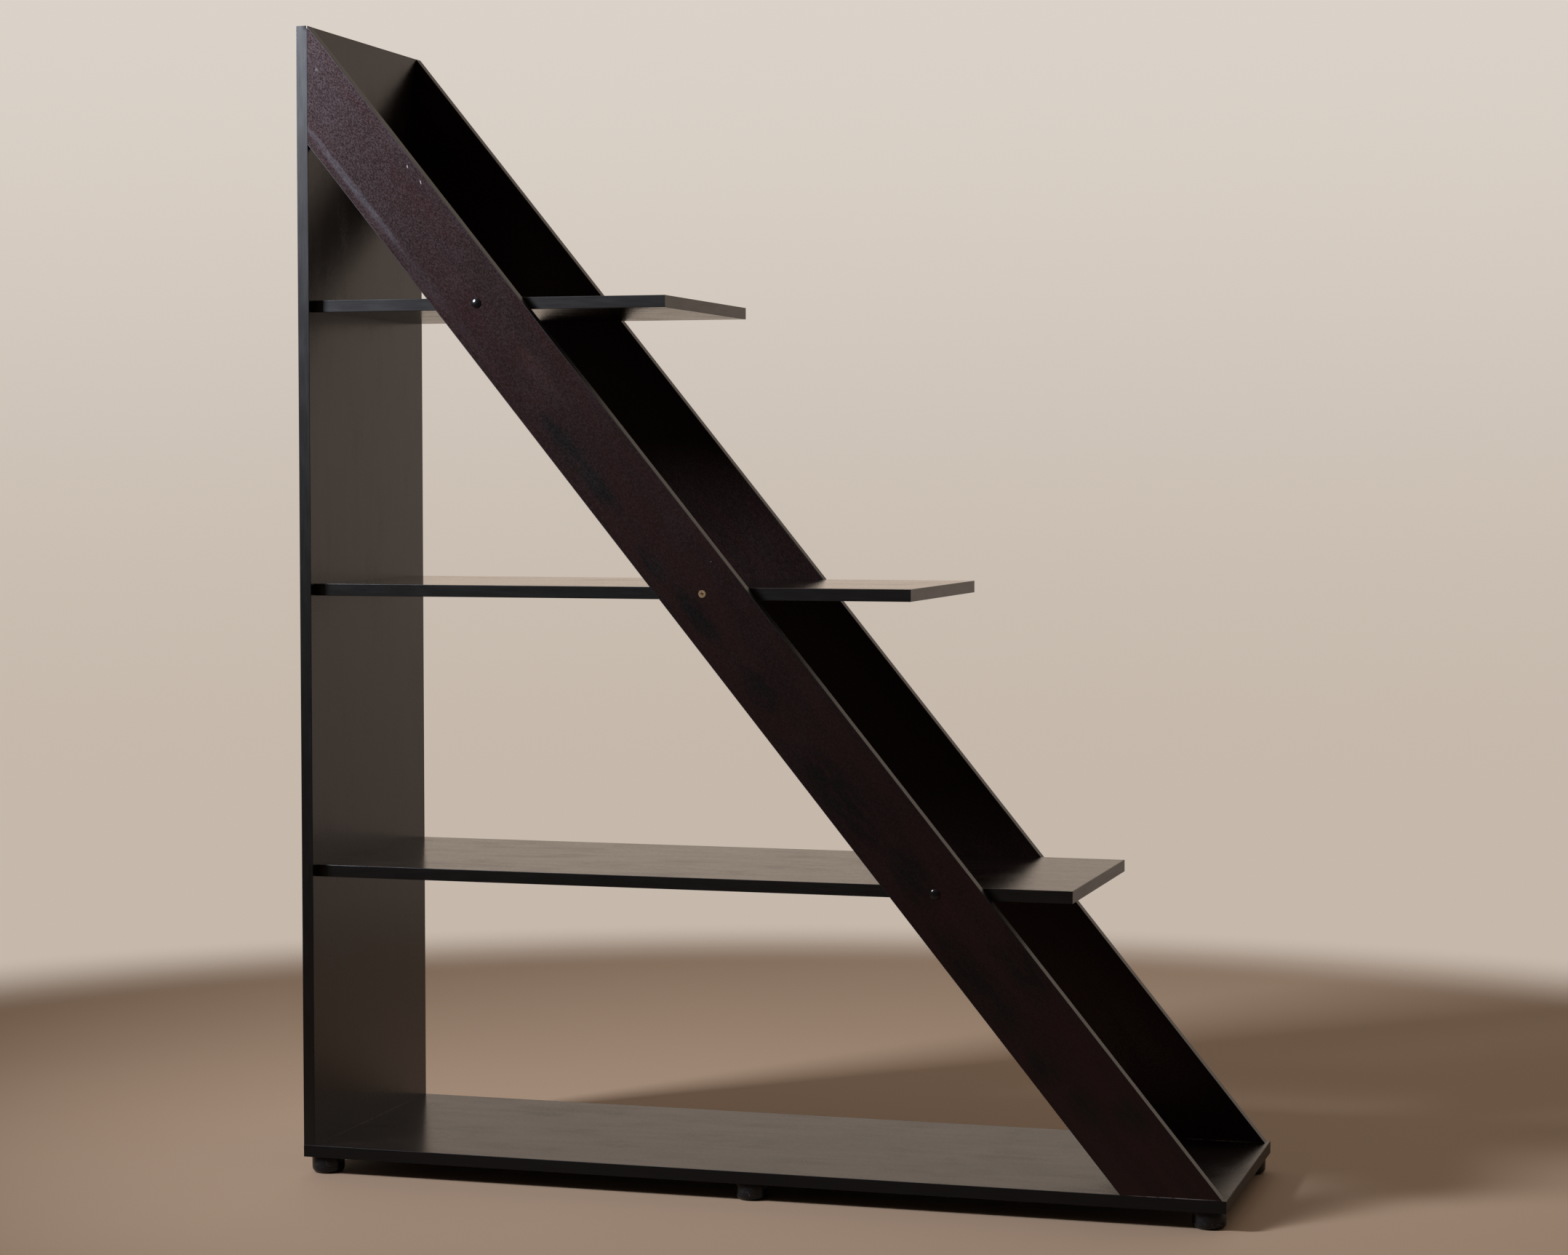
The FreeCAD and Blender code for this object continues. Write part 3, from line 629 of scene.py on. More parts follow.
def grid_faces(rows: int, columns: int, closed: bool) -> list[list[int]]:
    """Four-sided faces between neighbours of a grid whose columns run round.

    Args:
        rows: the number of rows.
        columns: the number of points in each row.
        closed: whether the last row joins the first.

    Returns:
        The faces, as point numbers.
    """
    row, column = np.meshgrid(np.arange(rows if closed else rows - 1), np.arange(columns),
                              indexing="ij")
    below, beside = (row + 1) % rows, (column + 1) % columns
    corners = np.stack([row * columns + column, row * columns + beside,
                        below * columns + beside, below * columns + column], -1)
    return corners.reshape(-1, 4).tolist()


def tube(rows: Array) -> Shell:
    """A closed surface through rows of points, with a flat face at each end.

    Args:
        rows: rows by columns by 3, where each row runs round once.

    Returns:
        The surface.
    """
    count, columns = rows.shape[:2]
    ends = [list(range(columns))[::-1], list(range((count - 1) * columns, count * columns))]
    return Shell.of(rows.reshape(-1, 3), grid_faces(count, columns, False) + ends).outward()


def ring(rows: Array) -> Shell:
    """A closed surface with a hole: rows that each run round once, the last joined to the first."""
    count, columns = rows.shape[:2]
    return Shell.of(rows.reshape(-1, 3), grid_faces(count, columns, True)).outward()


def turned(radius: Array, height: Array, angles: Array) -> Array:
    """Rows of points about the Z axis: (r cos a, r sin a, h) for each row's r and h.

    Args:
        radius: one radius for each row, or a table of rows by angles.
        height: one height for each row, or a table of rows by angles.
        angles: the angles round the axis.

    Returns:
        The points, as rows by angles by 3.
    """
    radius, height = (value if value.ndim == 2 else np.repeat(value[:, None], len(angles), 1)
                      for value in (radius, height))
    return np.stack([radius * np.cos(angles), radius * np.sin(angles), height], -1)


def around(sides: int) -> Array:
    """Even angles round a full turn."""
    return np.arange(sides) * (2 * math.pi / sides)


def arc(centre: tuple[float, float], radius: float, start: float, end: float,
        count: int) -> Array:
    """Points on an arc: the centre plus the radius times (cos a, sin a), angles in degrees."""
    angle = np.radians(np.linspace(start, end, count))
    return np.stack([centre[0] + radius * np.cos(angle), centre[1] + radius * np.sin(angle)], -1)


def make_piece(name: str, shell: Shell, finish: bpy.types.Material,
               node: str) -> None:
    """Makes the object of one piece, which rides on the unit and stands for one node.

    Args:
        name: the piece's name.
        shell: its surface, in the row frame.
        finish: its material.
        node: the node that it stands for.
    """
    sharp_past = math.radians(35.0)
    mesh = bpy.data.meshes.new(name)
    mesh.from_pydata(shell.points.tolist(), [], shell.faces)
    mesh.attributes.new("grain", "FLOAT_VECTOR", "POINT").data.foreach_set(
        "vector", shell.grain.astype(np.float32).ravel())
    mesh.attributes.new("chip", "FLOAT", "POINT").data.foreach_set(
        "value", shell.chips.astype(np.float32))
    mesh.polygons.foreach_set("use_smooth", np.ones(len(mesh.polygons), bool))
    mesh.set_sharp_from_angle(angle=sharp_past)
    mesh.materials.append(finish)
    mesh.update()
    piece = bpy.data.objects.new(name, mesh)
    bpy.context.scene.collection.objects.link(piece)
    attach(piece, "root")
    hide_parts(node)
    log.info("%s: %d points, for %s", name, len(shell.points), node)


@dataclass(frozen=True)
class Extent:
    """The box of a node of the frame."""

    low: Array
    high: Array

    @staticmethod
    def of(node: str) -> "Extent":
        """The box of the named node."""
        low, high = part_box(node)
        return Extent(np.array(low), np.array(high))

    @property
    def middle(self) -> Array:
        """The box's centre."""
        return (self.low + self.high) / 2

    @property
    def size(self) -> Array:
        """The box's length along each axis."""
        return self.high - self.low


# Boards and their edge banding

@dataclass(frozen=True)
class Nick:
    """A small dent in a strip's corner, or a chip where its pale inside shows.

    Its place is the distance along the strip, its side is -1 or 1 across it, and pale is 1
    for a chip.
    """

    place: float
    side: float
    length: float
    depth: float
    pale: float = 0.0


@dataclass
class Strip:
    """One strip of banding, laid along an edge of a board from start to end.

    Its profile is a flat with two quarter rounds, carried from one end plane to the other. It
    drifts in by a few hundredths of a millimetre, as banding that is trimmed by hand does. The
    drift is a share of its full depth plus a slow and a quick wave, in radians to the metre.
    """

    start: Array
    end: Array
    outward: Array
    width: float
    thickness: float
    nicks: tuple[Nick, ...] = ()
    start_plane: Array | None = None
    end_plane: Array | None = None
    corner_radius: float = 0.5 * MM
    corner_points: int = 6
    flat_shares: tuple[float, ...] = (-1.0, -0.85, 0.0, 0.85, 1.0)
    groove: float = 0.12 * MM
    support: float = 0.25 * MM
    station: float = 25 * MM
    nick_stations: int = 19
    nick_reach: float = 1.5
    nick_spread: float = 2.5
    chip_above: float = 0.4
    drift: float = 0.04 * MM
    drift_share: float = 0.5
    wave_share: float = 0.3
    slow_wave: float = 31.0
    quick_wave: float = 83.0
    quick_share: float = 0.6
    seed_scale: float = 37.0

    def profile(self) -> Array:
        """Points round the section, across the strip and out from the board.

        Two quarter arcs join the flat outer face to the sides, and the inner corners are cut
        back so that a fine groove shows between the strip and the board's face.

        Returns:
            The points, as pairs.
        """
        half, top, r = self.width / 2, self.thickness, self.corner_radius
        left = arc((-half + r, top - r), r, 180, 90, self.corner_points)
        right = arc((half - r, top - r), r, 90, 0, self.corner_points)
        inside = half - r - self.support
        flat = np.array([(share * inside, top) for share in self.flat_shares])
        inner = np.array([(half, self.groove), (half - self.groove, 0.0),
                          (-half + self.groove, 0.0), (-half, self.groove)])
        return np.concatenate([left, flat, right, inner])

    def stations(self, length: float) -> Array:
        """Where the section is set: evenly along the strip, and close together round each nick.

        Args:
            length: the strip's length.

        Returns:
            Shares of the length, in order.
        """
        even = np.linspace(0.0, 1.0, max(3, int(length / self.station)))
        about = np.linspace(-self.nick_reach, self.nick_reach, self.nick_stations)
        near = [np.clip((nick.place + about * nick.length) / length, 0, 1) for nick in self.nicks]
        return np.unique(np.round(np.concatenate([even, *near]), 6))

    def dent(self, nick: Nick, reach: Array, profile: Array) -> tuple[Array, Array]:
        """How deep and how pale a nick is at each point of the strip.

        The share along is exp(-(2 d / length)^4) of the distance d from the nick's place, and
        the share across falls evenly from the strip's corner to the end of the nick's span.

        Args:
            nick: the nick.
            reach: the distances along the strip, as stations by profile points.
            profile: the section's points.

        Returns:
            The depth and the paleness, each in the shape of the distances.
        """
        near = np.exp(-((reach - nick.place) / nick.length * 2) ** 4)
        span = self.nick_spread * nick.depth + self.corner_radius
        corner = np.clip(1 - np.abs(profile[:, 0] - nick.side * self.width / 2) / span, 0, 1)
        outer = profile[:, 1] / self.thickness
        shows = outer > self.chip_above
        return nick.depth * near * corner * outer, nick.pale * near * corner * shows

    def shell(self) -> Shell:
        """The strip: each profile point runs straight from the start plane to the end plane.

        Returns:
            The surface, with its grain as the distances along, across and out.
        """
        run = self.end - self.start
        length = float(np.linalg.norm(run))
        along = run / length
        across = np.cross(self.outward, along)
        profile = self.profile()
        lines = self.start + profile[:, :1] * across + profile[:, 1:] * self.outward
        planes = (along if plane is None else plane for plane in (self.start_plane, self.end_plane))
        first, last = (((corner - lines) @ plane) / (along @ plane)
                       for corner, plane in zip((self.start, self.end), planes))
        reach = first + self.stations(length)[:, None] * (last - first)
        seed = float(np.abs(self.start).sum() * self.seed_scale)
        wave = (np.sin(reach * self.slow_wave + seed)
                + self.quick_share * np.sin(reach * self.quick_wave + 2 * seed))
        outer_half = profile[:, 1] > self.thickness / 2
        inward = self.drift * (self.drift_share + self.wave_share * wave) * outer_half
        chips = np.zeros_like(reach)
        for nick in self.nicks:
            depth, pale = self.dent(nick, reach, profile)
            inward, chips = inward + depth, np.maximum(chips, pale)
        shell = tube(lines + reach[..., None] * along - inward[..., None] * self.outward)
        sides = [np.broadcast_to(profile[:, k], reach.shape) for k in range(2)]
        shell.grain = np.stack([reach + seed, *sides], -1).reshape(-1, 3)
        shell.chips = chips.ravel()
        return shell


@dataclass
class Board:
    """A flat board on the frame's axes, and the strips that cover its cut edges."""

    name: str
    laminate: Laminate
    banding: bpy.types.Material
    length_axis: Array = field(default_factory=lambda: X)
    thin_axis: Array = field(default_factory=lambda: Z)
    banded_ends: tuple[int, ...] = (1,)
    nicks: Mapping[str, tuple[Nick, ...]] = field(default_factory=dict)
    band: float = 1 * MM

    @property
    def band_node(self) -> str:
        """The node of the board's banding."""
        return f"{self.name.removesuffix('_board').removesuffix('_panel')}_edge_bands"

    def strips(self) -> list[Strip]:
        """Lays strips on the front and rear edges at full length, and end strips between them.

        Returns:
            The strips.
        """
        box = Extent.of(self.band_node)
        width = float(box.size @ self.thin_axis)
        ends = {-1: box.low @ self.length_axis, 1: box.high @ self.length_axis}
        rows = {-1: box.low[1] + self.band, 1: box.high[1] - self.band}
        level = (box.middle @ self.thin_axis) * self.thin_axis
        made = []
        for name, side in (("front", -1), ("rear", 1)):
            start, end = (level + self.length_axis * ends[k] + Y * rows[side] for k in (-1, 1))
            made.append(Strip(start, end, side * Y, width, self.band, self.nicks.get(name, ())))
        for side in self.banded_ends:
            inside = level + self.length_axis * (ends[side] - side * self.band)
            start, end = (inside + Y * rows[k] for k in (-1, 1))
            made.append(Strip(start, end, side * self.length_axis, width, self.band))
        return made

    def corner(self) -> Point:
        """The corner that marks are measured from, on a shelf's top or the panel's right face."""
        box = Extent.of(self.band_node)
        return tuple(np.where(self.thin_axis > 0.5, box.high, box.low).tolist())

    def build(self) -> None:
        """Paints the board and lays its strips."""
        laminate = replace(self.laminate, corner=self.corner())
        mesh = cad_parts[self.name].data
        mesh.materials.clear()
        mesh.materials.append(laminate.material(f"{self.name}_laminate"))
        log.info("%s: laminate", self.name)
        make_piece(f"{self.name}_banding", Shell.joined([s.shell() for s in self.strips()]),
                   self.banding, self.band_node)


@dataclass
class SlopedBoard(Board):
    """A diagonal, cut off upright at its top and level at its foot."""

    width: float = 100 * MM

    def slope(self) -> tuple[Array, Array, Array]:
        """Finds the upper edge from the corners of the box.

        Returns:
            The upper edge's top end, its lower end and the way down it.
        """
        box = Extent.of(self.band_node)
        level = box.middle[1]
        start = np.array([box.low[0], level, box.high[2]])
        end = np.array([box.high[0], level, box.low[2]])
        return start, end, (end - start) / np.linalg.norm(end - start)

    def strips(self) -> list[Strip]:
        """Lays a strip on the upper edge and one on the lower, each a band's thickness in.

        Returns:
            The strips, cut upright at the top and level at the foot.
        """
        start, end, along = self.slope()
        thickness = float(Extent.of(self.name).size[1])
        out = np.cross(along, Y)
        made = []
        for name, depth, way in (("upper", self.band, out),
                                 ("lower", self.width - self.band, -out)):
            upper = start - Z * depth / along[0]
            lower = end + X * depth / along[2]
            made.append(Strip(upper, lower, way, thickness, self.band,
                              self.nicks.get(name, ()), X, Z))
        return made

    def crossing(self, height: float) -> float:
        """Where the board's centreline reaches a height.

        Args:
            height: the Z of the level.

        Returns:
            The X of the centreline there: the upper edge's, less half the width over the sine
            of the slope.
        """
        start, end, along = self.slope()
        share = (start[2] - height) / (start[2] - end[2])
        return float(start[0] + share * (end[0] - start[0]) + self.width / 2 / along[2])


# Screws

@dataclass(frozen=True)
class Thread:
    """A screw's thread: crest, root and pitch, where it starts and ends, and its point."""

    crest: float
    root: float
    pitch: float
    start: float
    end: float
    point: float
    rings_per_turn: int = 6
    tip_share: float = 0.03


@dataclass(frozen=True)
class Screw:
    """A screw along Z with a cross recess, its head's top at 0 and its point up.

    The outline gives the head and the plain shank as radius and height. The recess gets
    shallower from the middle and ends at the cone's share of half an arm's length.
    """

    recess_arm: float
    recess_slot: float
    recess_depth: float
    outline: tuple[tuple[float, float], ...]
    thread: Thread
    recess_wall: float = 0.18 * MM
    recess_cone: float = 1.25
    head_rings: int = 16
    first_ring: float = 0.08

    def shell(self, sides: int = 48) -> Shell:
        """The screw's surface.

        The top is a polar grid whose height is the recess: it is deepest in the middle, and
        the distance inside the cross's arms gives its sloping walls. The thread's radius is
        the root plus a ridge of the phase, which is height over pitch less the turn round. The
        ridge fills the middle half of a turn.

        Args:
            sides: the number of points round the screw.

        Returns:
            The surface.
        """
        angles = around(sides)
        top_radius = self.outline[0][0]
        shares = np.linspace(self.first_ring, 1.0, self.head_rings)
        radii = np.concatenate([[POLE], shares * top_radius])
        x, y = np.abs(radii[:, None] * np.cos(angles)), np.abs(radii[:, None] * np.sin(angles))
        slot, arm = self.recess_slot / 2, self.recess_arm / 2
        outside = np.minimum(np.maximum(x - slot, y - arm), np.maximum(y - slot, x - arm))
        cone = np.clip(1 - radii[:, None] / (arm * self.recess_cone), 0, 1)
        sunk = self.recess_depth * cone * np.clip(-outside / self.recess_wall, 0, 1)
        body, thread = np.array(self.outline), self.thread
        turns = (thread.end - thread.start) / thread.pitch
        height = np.linspace(thread.start, thread.end, int(turns * thread.rings_per_turn))[:, None]
        phase = (height / thread.pitch - angles / (2 * math.pi)) % 1.0
        ridge = np.clip(1 - np.abs(phase - 0.5) * 4, 0, 1)
        taper = np.clip((thread.end - height) / thread.point, thread.tip_share, 1)
        radius = (thread.root + (thread.crest - thread.root) * ridge) * taper
        return tube(np.concatenate([turned(radii, sunk, angles),
                                    turned(body[:, 0], body[:, 1], angles),
                                    turned(radius, height[:, 0], angles)]))


JOINT_SCREW = Screw(
    recess_arm=5.2 * MM, recess_slot=1.3 * MM, recess_depth=2.6 * MM,
    outline=((4.85 * MM, 0.0), (5 * MM, 0.15 * MM), (5 * MM, 0.4 * MM), (3.5 * MM, 1.9 * MM),
             (3.5 * MM, 13 * MM), (2.5 * MM, 14 * MM)),
    thread=Thread(crest=2.5 * MM, root=1.9 * MM, pitch=2.8 * MM, start=14.2 * MM, end=50 * MM,
                  point=4 * MM))
FOOT_SCREW = Screw(
    recess_arm=4 * MM, recess_slot=0.9 * MM, recess_depth=1.6 * MM,
    outline=((2.7 * MM, 0.0), (3.6 * MM, 0.5 * MM), (4 * MM, 1.3 * MM), (4 * MM, 2.6 * MM),
             (1.9 * MM, 2.62 * MM)),
    thread=Thread(crest=2 * MM, root=1.35 * MM, pitch=1.4 * MM, start=2.8 * MM, end=22.6 * MM,
                  point=4 * MM))


# Feet

@dataclass
class Feet:
    """Six round plastic feet with a rounded lower edge, and the screw inside each."""

    plastic: bpy.types.Material
    steel: bpy.types.Material
    sides: int = 96
    edge_radius: float = 7 * MM
    edge_points: int = 12
    rim: float = 0.6 * MM
    draft: float = 0.15 * MM
    line_height: float = 9.5 * MM
    line_depth: float = 0.15 * MM
    recess_radius: float = 7 * MM
    recess_depth: float = 15 * MM
    bore_radius: float = 2.1 * MM
    screw_start: float = 12.4 * MM

    def profile(self, radius: float, height: float) -> Array:
        """Points round half of the foot's section: side, lower edge, recess, bore and top.

        The side leans in by the draft towards the floor and carries a fine mould line.

        Args:
            radius: the foot's radius at its top.
            height: the foot's height.

        Returns:
            The points, as radius and height.
        """
        lip, waist = self.rim, radius - self.draft / 2
        side = np.array([(radius - lip, height), (radius - lip / 3, height - lip / 3),
                         (radius, height - lip), (waist, self.line_height + self.line_depth),
                         (waist - self.line_depth, self.line_height),
                         (waist, self.line_height - self.line_depth)])
        low = radius - self.draft - self.edge_radius
        edge = arc((low, self.edge_radius), self.edge_radius, 0, -90, self.edge_points)
        recess = np.array([(self.recess_radius + lip, 0.0), (self.recess_radius, lip),
                           (self.recess_radius, self.recess_depth - lip),
                           (self.recess_radius - lip, self.recess_depth),
                           (self.bore_radius + lip, self.recess_depth),
                           (self.bore_radius, self.recess_depth + lip), (self.bore_radius, height)])
        return np.concatenate([side, edge, recess])

    def build(self) -> None:
        """Turns one foot about the place of each foot's node, with its screw."""
        screws = []
        nodes = (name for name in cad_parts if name.startswith("foot_"))
        for name in sorted(name for name in nodes if name != "foot_screws"):
            box = Extent.of(name)
            profile = self.profile(float(box.size[0]) / 2, float(box.size[2]))
            centre = box.middle * (X + Y)
            foot = ring(turned(profile[:, 0], profile[:, 1], around(self.sides)))
            make_piece(f"{name}_moulding", foot.placed(centre, Z), self.plastic,
                       name)
            screws.append(FOOT_SCREW.shell().placed(centre + Z * self.screw_start, Z))
        make_piece("foot_wood_screws", Shell.joined(screws), self.steel,
                   "foot_screws")


# Joints

@dataclass
class Cap:
    """A screw cap along Z, its face on the board at 0, domed down from there, peg up."""

    radius: float = 6.5 * MM
    height: float = 2.4 * MM
    rim: float = 0.5 * MM
    rim_corner: float = 0.1 * MM
    nub: float = 0.1 * MM
    nub_radius: float = 0.5 * MM
    peg_radius: float = 1.1 * MM
    peg_length: float = 2 * MM
    peg_chamfer: float = 0.2 * MM
    peg_tip: float = 0.7
    dome_rings: int = 18
    first_ring: float = 0.04
    sides: int = 64

    def shell(self) -> Shell:
        """The cap: part of a sphere above a short rim, with a small nub left by the moulding.

        The sphere's radius is (r^2 + h^2) / 2h for a dome of radius r and height h, and the
        nub is a bell curve at its middle.

        Returns:
            The surface.
        """
        shares = np.linspace(self.first_ring, 1.0, self.dome_rings)
        reach = np.concatenate([[POLE], shares * self.radius])
        rise = self.height - self.nub - self.rim
        ball = (self.radius ** 2 + rise ** 2) / (2 * rise)
        dome = np.sqrt(ball ** 2 - reach ** 2) - ball + rise + self.rim
        dome += self.nub * np.exp(-(reach / self.nub_radius) ** 2)
        peg, edge = self.peg_radius, self.rim_corner
        outline = np.array([(self.radius, -edge), (self.radius - edge, 0.0), (peg, 0.0),
                            (peg, self.peg_length - self.peg_chamfer),
                            (peg * self.peg_tip, self.peg_length)])
        return tube(turned(np.concatenate([reach, outline[:, 0]]),
                           np.concatenate([-dome, outline[:, 1]]), around(self.sides)))


@dataclass
class Dowel:
    """A fluted wooden dowel along Z from 0."""

    radius: float = 4 * MM
    length: float = 35 * MM
    cut: float = 1 * MM
    flute: float = 0.25 * MM
    flutes: int = 20
    flute_run: float = 0.5 * MM
    flute_start: float = 0.4
    points_per_flute: int = 6

    def shell(self) -> Shell:
        """The dowel: its radius dips at each flute, and its two ends are cut to a cone.

        The dip is the square of a raised cosine round the dowel. It starts at a share of its
        depth where the cone ends, and is full a short run further in.

        Returns:
            The surface.
        """
        angles = around(self.flutes * self.points_per_flute)
        dip = self.flute * (0.5 + 0.5 * np.cos(angles * self.flutes)) ** 2
        inside = self.cut + self.flute_run
        height = np.array([0, self.cut, inside, self.length - inside, self.length - self.cut,
                           self.length])
        base = self.radius - self.cut * np.array([1, 0, 0, 0, 0, 1])
        fluted = np.array([0, self.flute_start, 1, 1, self.flute_start, 0])[:, None] * dip
        return tube(turned(base[:, None] - fluted, height, angles))


def spots(x: float, rows: Sequence[float], levels: Sequence[float], way: Array) -> list[Place]:
    """Places at one X, in each row at each level, that all point one way."""
    return [(np.array([x, row, level]), way) for level in levels for row in rows]


@dataclass
class Joints:
    """Every sunk screw, cap and dowel, at the boards' middles and on the diagonals' lines."""

    front: SlopedBoard
    rear: SlopedBoard
    steel: bpy.types.Material
    cap_finish: bpy.types.Material
    wood: bpy.types.Material
    joint_rows: Span = (-129 * MM, 129 * MM)
    shelf_dowel_rows: Span = (-97 * MM, 97 * MM)
    upright_screw_rows: Span = (-125 * MM, 125 * MM)
    upright_dowel_rows: Span = (-93 * MM, 93 * MM)
    upper_screw: float = 1489.6 * MM
    upper_dowel: float = 1429.6 * MM
    lower_screw: float = 517.9 * MM
    lower_dowel: float = 557.9 * MM
    dowel_depth: float = 11 * MM
    capped_levels: tuple[int, int] = (0, 2)
    bare_screw_sides: int = 120

    def build(self) -> None:
        """Places each fastener's pattern at every place of its node."""
        panel, base = Extent.of("upright_panel"), Extent.of("base_board")
        front, rear = Extent.of("front_diagonal"), Extent.of("rear_diagonal")
        levels = [Extent.of(f"shelf_{name}").middle[2] for name in ("bottom", "middle", "top")]
        slope_rows = (front.middle[1], rear.middle[1])
        left, middle, under = panel.low[0], panel.middle[0], base.low[2]
        sunk, low = panel.high[0] - self.dowel_depth, base.high[2] - self.dowel_depth
        ahead = [place for z in levels
                 for place in spots(self.front.crossing(z), (front.low[1],), (z,), Y)]
        behind = [place for z in levels
                  for place in spots(self.rear.crossing(z), (rear.high[1],), (z,), -Y)]
        shelf_ends = spots(left, self.joint_rows, levels, X)
        upper_ends = spots(left, slope_rows, (self.upper_screw,), X)
        screws = {"rear_diagonal_screws": behind,
                  "upright_to_shelf_screws": shelf_ends,
                  "upright_to_diagonal_screws": upper_ends,
                  "base_to_upright_screws": spots(middle, self.upright_screw_rows, (under,), Z),
                  "base_to_diagonal_screws": spots(self.lower_screw, slope_rows, (under,), Z)}
        caps = {"front_screw_caps": [ahead[k] for k in self.capped_levels],
                "rear_screw_caps": behind,
                "upright_screw_caps": shelf_ends + upper_ends}
        dowels = {"shelf_dowels": spots(sunk, self.shelf_dowel_rows, levels, X),
                  "upright_dowels": spots(middle, self.upright_dowel_rows, (low,), Z),
                  "diagonal_dowels": spots(sunk, slope_rows, (self.upper_dowel,), X)
                                     + spots(self.lower_dowel, slope_rows, (low,), Z)}
        for pattern, groups, finish, slot in (
                (JOINT_SCREW.shell(self.bare_screw_sides), {"front_diagonal_screws": ahead},
                 self.steel, "zinc_screw"),
                (JOINT_SCREW.shell(), screws, self.steel, "zinc_screw"),
                (Cap().shell(), caps, self.cap_finish, "cap_plastic"),
                (Dowel().shell(), dowels, self.wood, "dowel_wood")):
            for node, places in groups.items():
                pieces = [pattern.placed(spot, way) for spot, way in places]
                make_piece(f"{node}_set", Shell.joined(pieces), finish, node)


# Room

@dataclass(frozen=True)
class Studio:
    """The plain tan floor, the soft light and the camera of the photograph.

    The room's glow depends on the direction: each span holds the values of the direction's
    X, Y or Z between which a part of the room starts and is full.
    """

    floor_sides: int = 96
    floor_rings: int = 12
    floor_middle: float = 1 * MM
    floor_inside: float = 0.5
    floor_reach: float = 6.0
    softbox_place: Point = (-1.94, -1.43, 2.20)
    softbox_target: Point = (-0.2, 0.0, 1.33)
    softbox_width: float = 0.51
    softbox_height: float = 0.72
    softbox_radiance: float = 50.0
    softbox_spread: float = 88.0
    softbox_tint: Colour = (0.92, 0.97, 1.11)
    seen_high: Colour = (0.708, 0.645, 0.584)
    seen_low: Colour = (0.565, 0.485, 0.413)
    seen_span: Span = (-0.10, 0.16)
    bright_side: Colour = (0.69, 0.565, 0.465)
    dark_side: Colour = (0.098, 0.074, 0.058)
    rear_span: Span = (-0.15, 0.45)
    left_span: Span = (0.45, -0.30)
    left_share: float = 0.16
    ground_span: Span = (-0.14, 0.02)
    ground_share: float = 0.5
    high_span: Span = (0.22, 0.42)
    high_share: float = 0.3
    ceiling_span: Span = (0.45, 0.80)
    ceiling_share: float = 0.45
    camera_place: Point = (1.2472, -4.2645, 0.9444)
    camera_forward: Point = (-0.28137, 0.95847, -0.04646)
    camera_right: Point = (0.95951, 0.28166, -0.00036)
    camera_lens: float = 75.94
    camera_sensor: float = 36.0
    camera_reach: float = 50.0

    def build(self) -> None:
        """Makes the floor, the light, the room's glow and the camera."""
        self.lay_floor()
        self.hang_softbox()
        self.fill_room()
        self.stand_camera()

    def lay_floor(self) -> None:
        """A flat disc of rings that fades out into the room."""
        outer = np.linspace(self.floor_inside, self.floor_reach, self.floor_rings)
        radii = np.concatenate([[self.floor_middle], outer])
        rows = turned(radii, np.zeros(len(radii)), around(self.floor_sides))
        rings = [face[::-1] for face in grid_faces(len(radii), self.floor_sides, False)]
        mesh = bpy.data.meshes.new("floor")
        mesh.from_pydata(rows.reshape(-1, 3).tolist(), [], rings + [list(range(self.floor_sides))])
        mesh.materials.append(FloorPaint().material("floor_paint"))
        floor = bpy.data.objects.new("floor", mesh)
        bpy.context.scene.collection.objects.link(floor)
        log.info("floor: %d points", len(mesh.vertices))

    def hang_softbox(self) -> None:
        """A softbox with a honeycomb grid, high at the front left and turned to the unit.

        Its power is pi times its area times its radiance.
        """
        light = bpy.data.lights.new("softbox", "AREA")
        light.shape, light.size, light.size_y = "RECTANGLE", self.softbox_width, self.softbox_height
        light.energy = math.pi * self.softbox_width * self.softbox_height * self.softbox_radiance
        light.spread = math.radians(self.softbox_spread)
        light.color = self.softbox_tint
        lamp = bpy.data.objects.new("softbox", light)
        lamp.location = self.softbox_place
        aim = Vector(self.softbox_target) - Vector(self.softbox_place)
        lamp.rotation_euler = aim.to_track_quat("-Z", "Y").to_euler()
        bpy.context.scene.collection.objects.link(lamp)

    def fill_room(self) -> None:
        """The room's glow: a pale wall behind the unit, a dark room in front, a pale ceiling.

        Past the unit and the floor the camera sees a plain wall, whichever way it looks.
        """
        world = bpy.data.worlds.new("room")
        world.use_nodes = True
        bpy.context.scene.world = world
        recipe = Recipe(world.node_tree)
        across, back, up = recipe.parts(recipe.get("ShaderNodeTexCoord", "Generated", {}, {}))
        rear = back.rise(*self.rear_span)
        side = 1.0 - self.left_share + self.left_share * across.rise(*self.left_span)
        ground = 1.0 - self.ground_share + self.ground_share * up.rise(*self.ground_span)
        level = ground * (1.0 - self.high_share * up.rise(*self.high_span))
        ceiling = self.ceiling_share * up.rise(*self.ceiling_span)
        glow = recipe.mix(rear * side * level + ceiling, self.dark_side, self.bright_side)
        seen = recipe.get("ShaderNodeLightPath", "Is Camera Ray", {}, {})
        wall = recipe.mix(up.rise(*self.seen_span), self.seen_low, self.seen_high)
        colour = recipe.mix(seen, glow, wall)
        light = recipe.add("ShaderNodeBackground", {}, {"Color": colour, "Strength": 1.0})
        recipe.add("ShaderNodeOutputWorld", {}, {"Surface": Shade(recipe, light.outputs[0])})

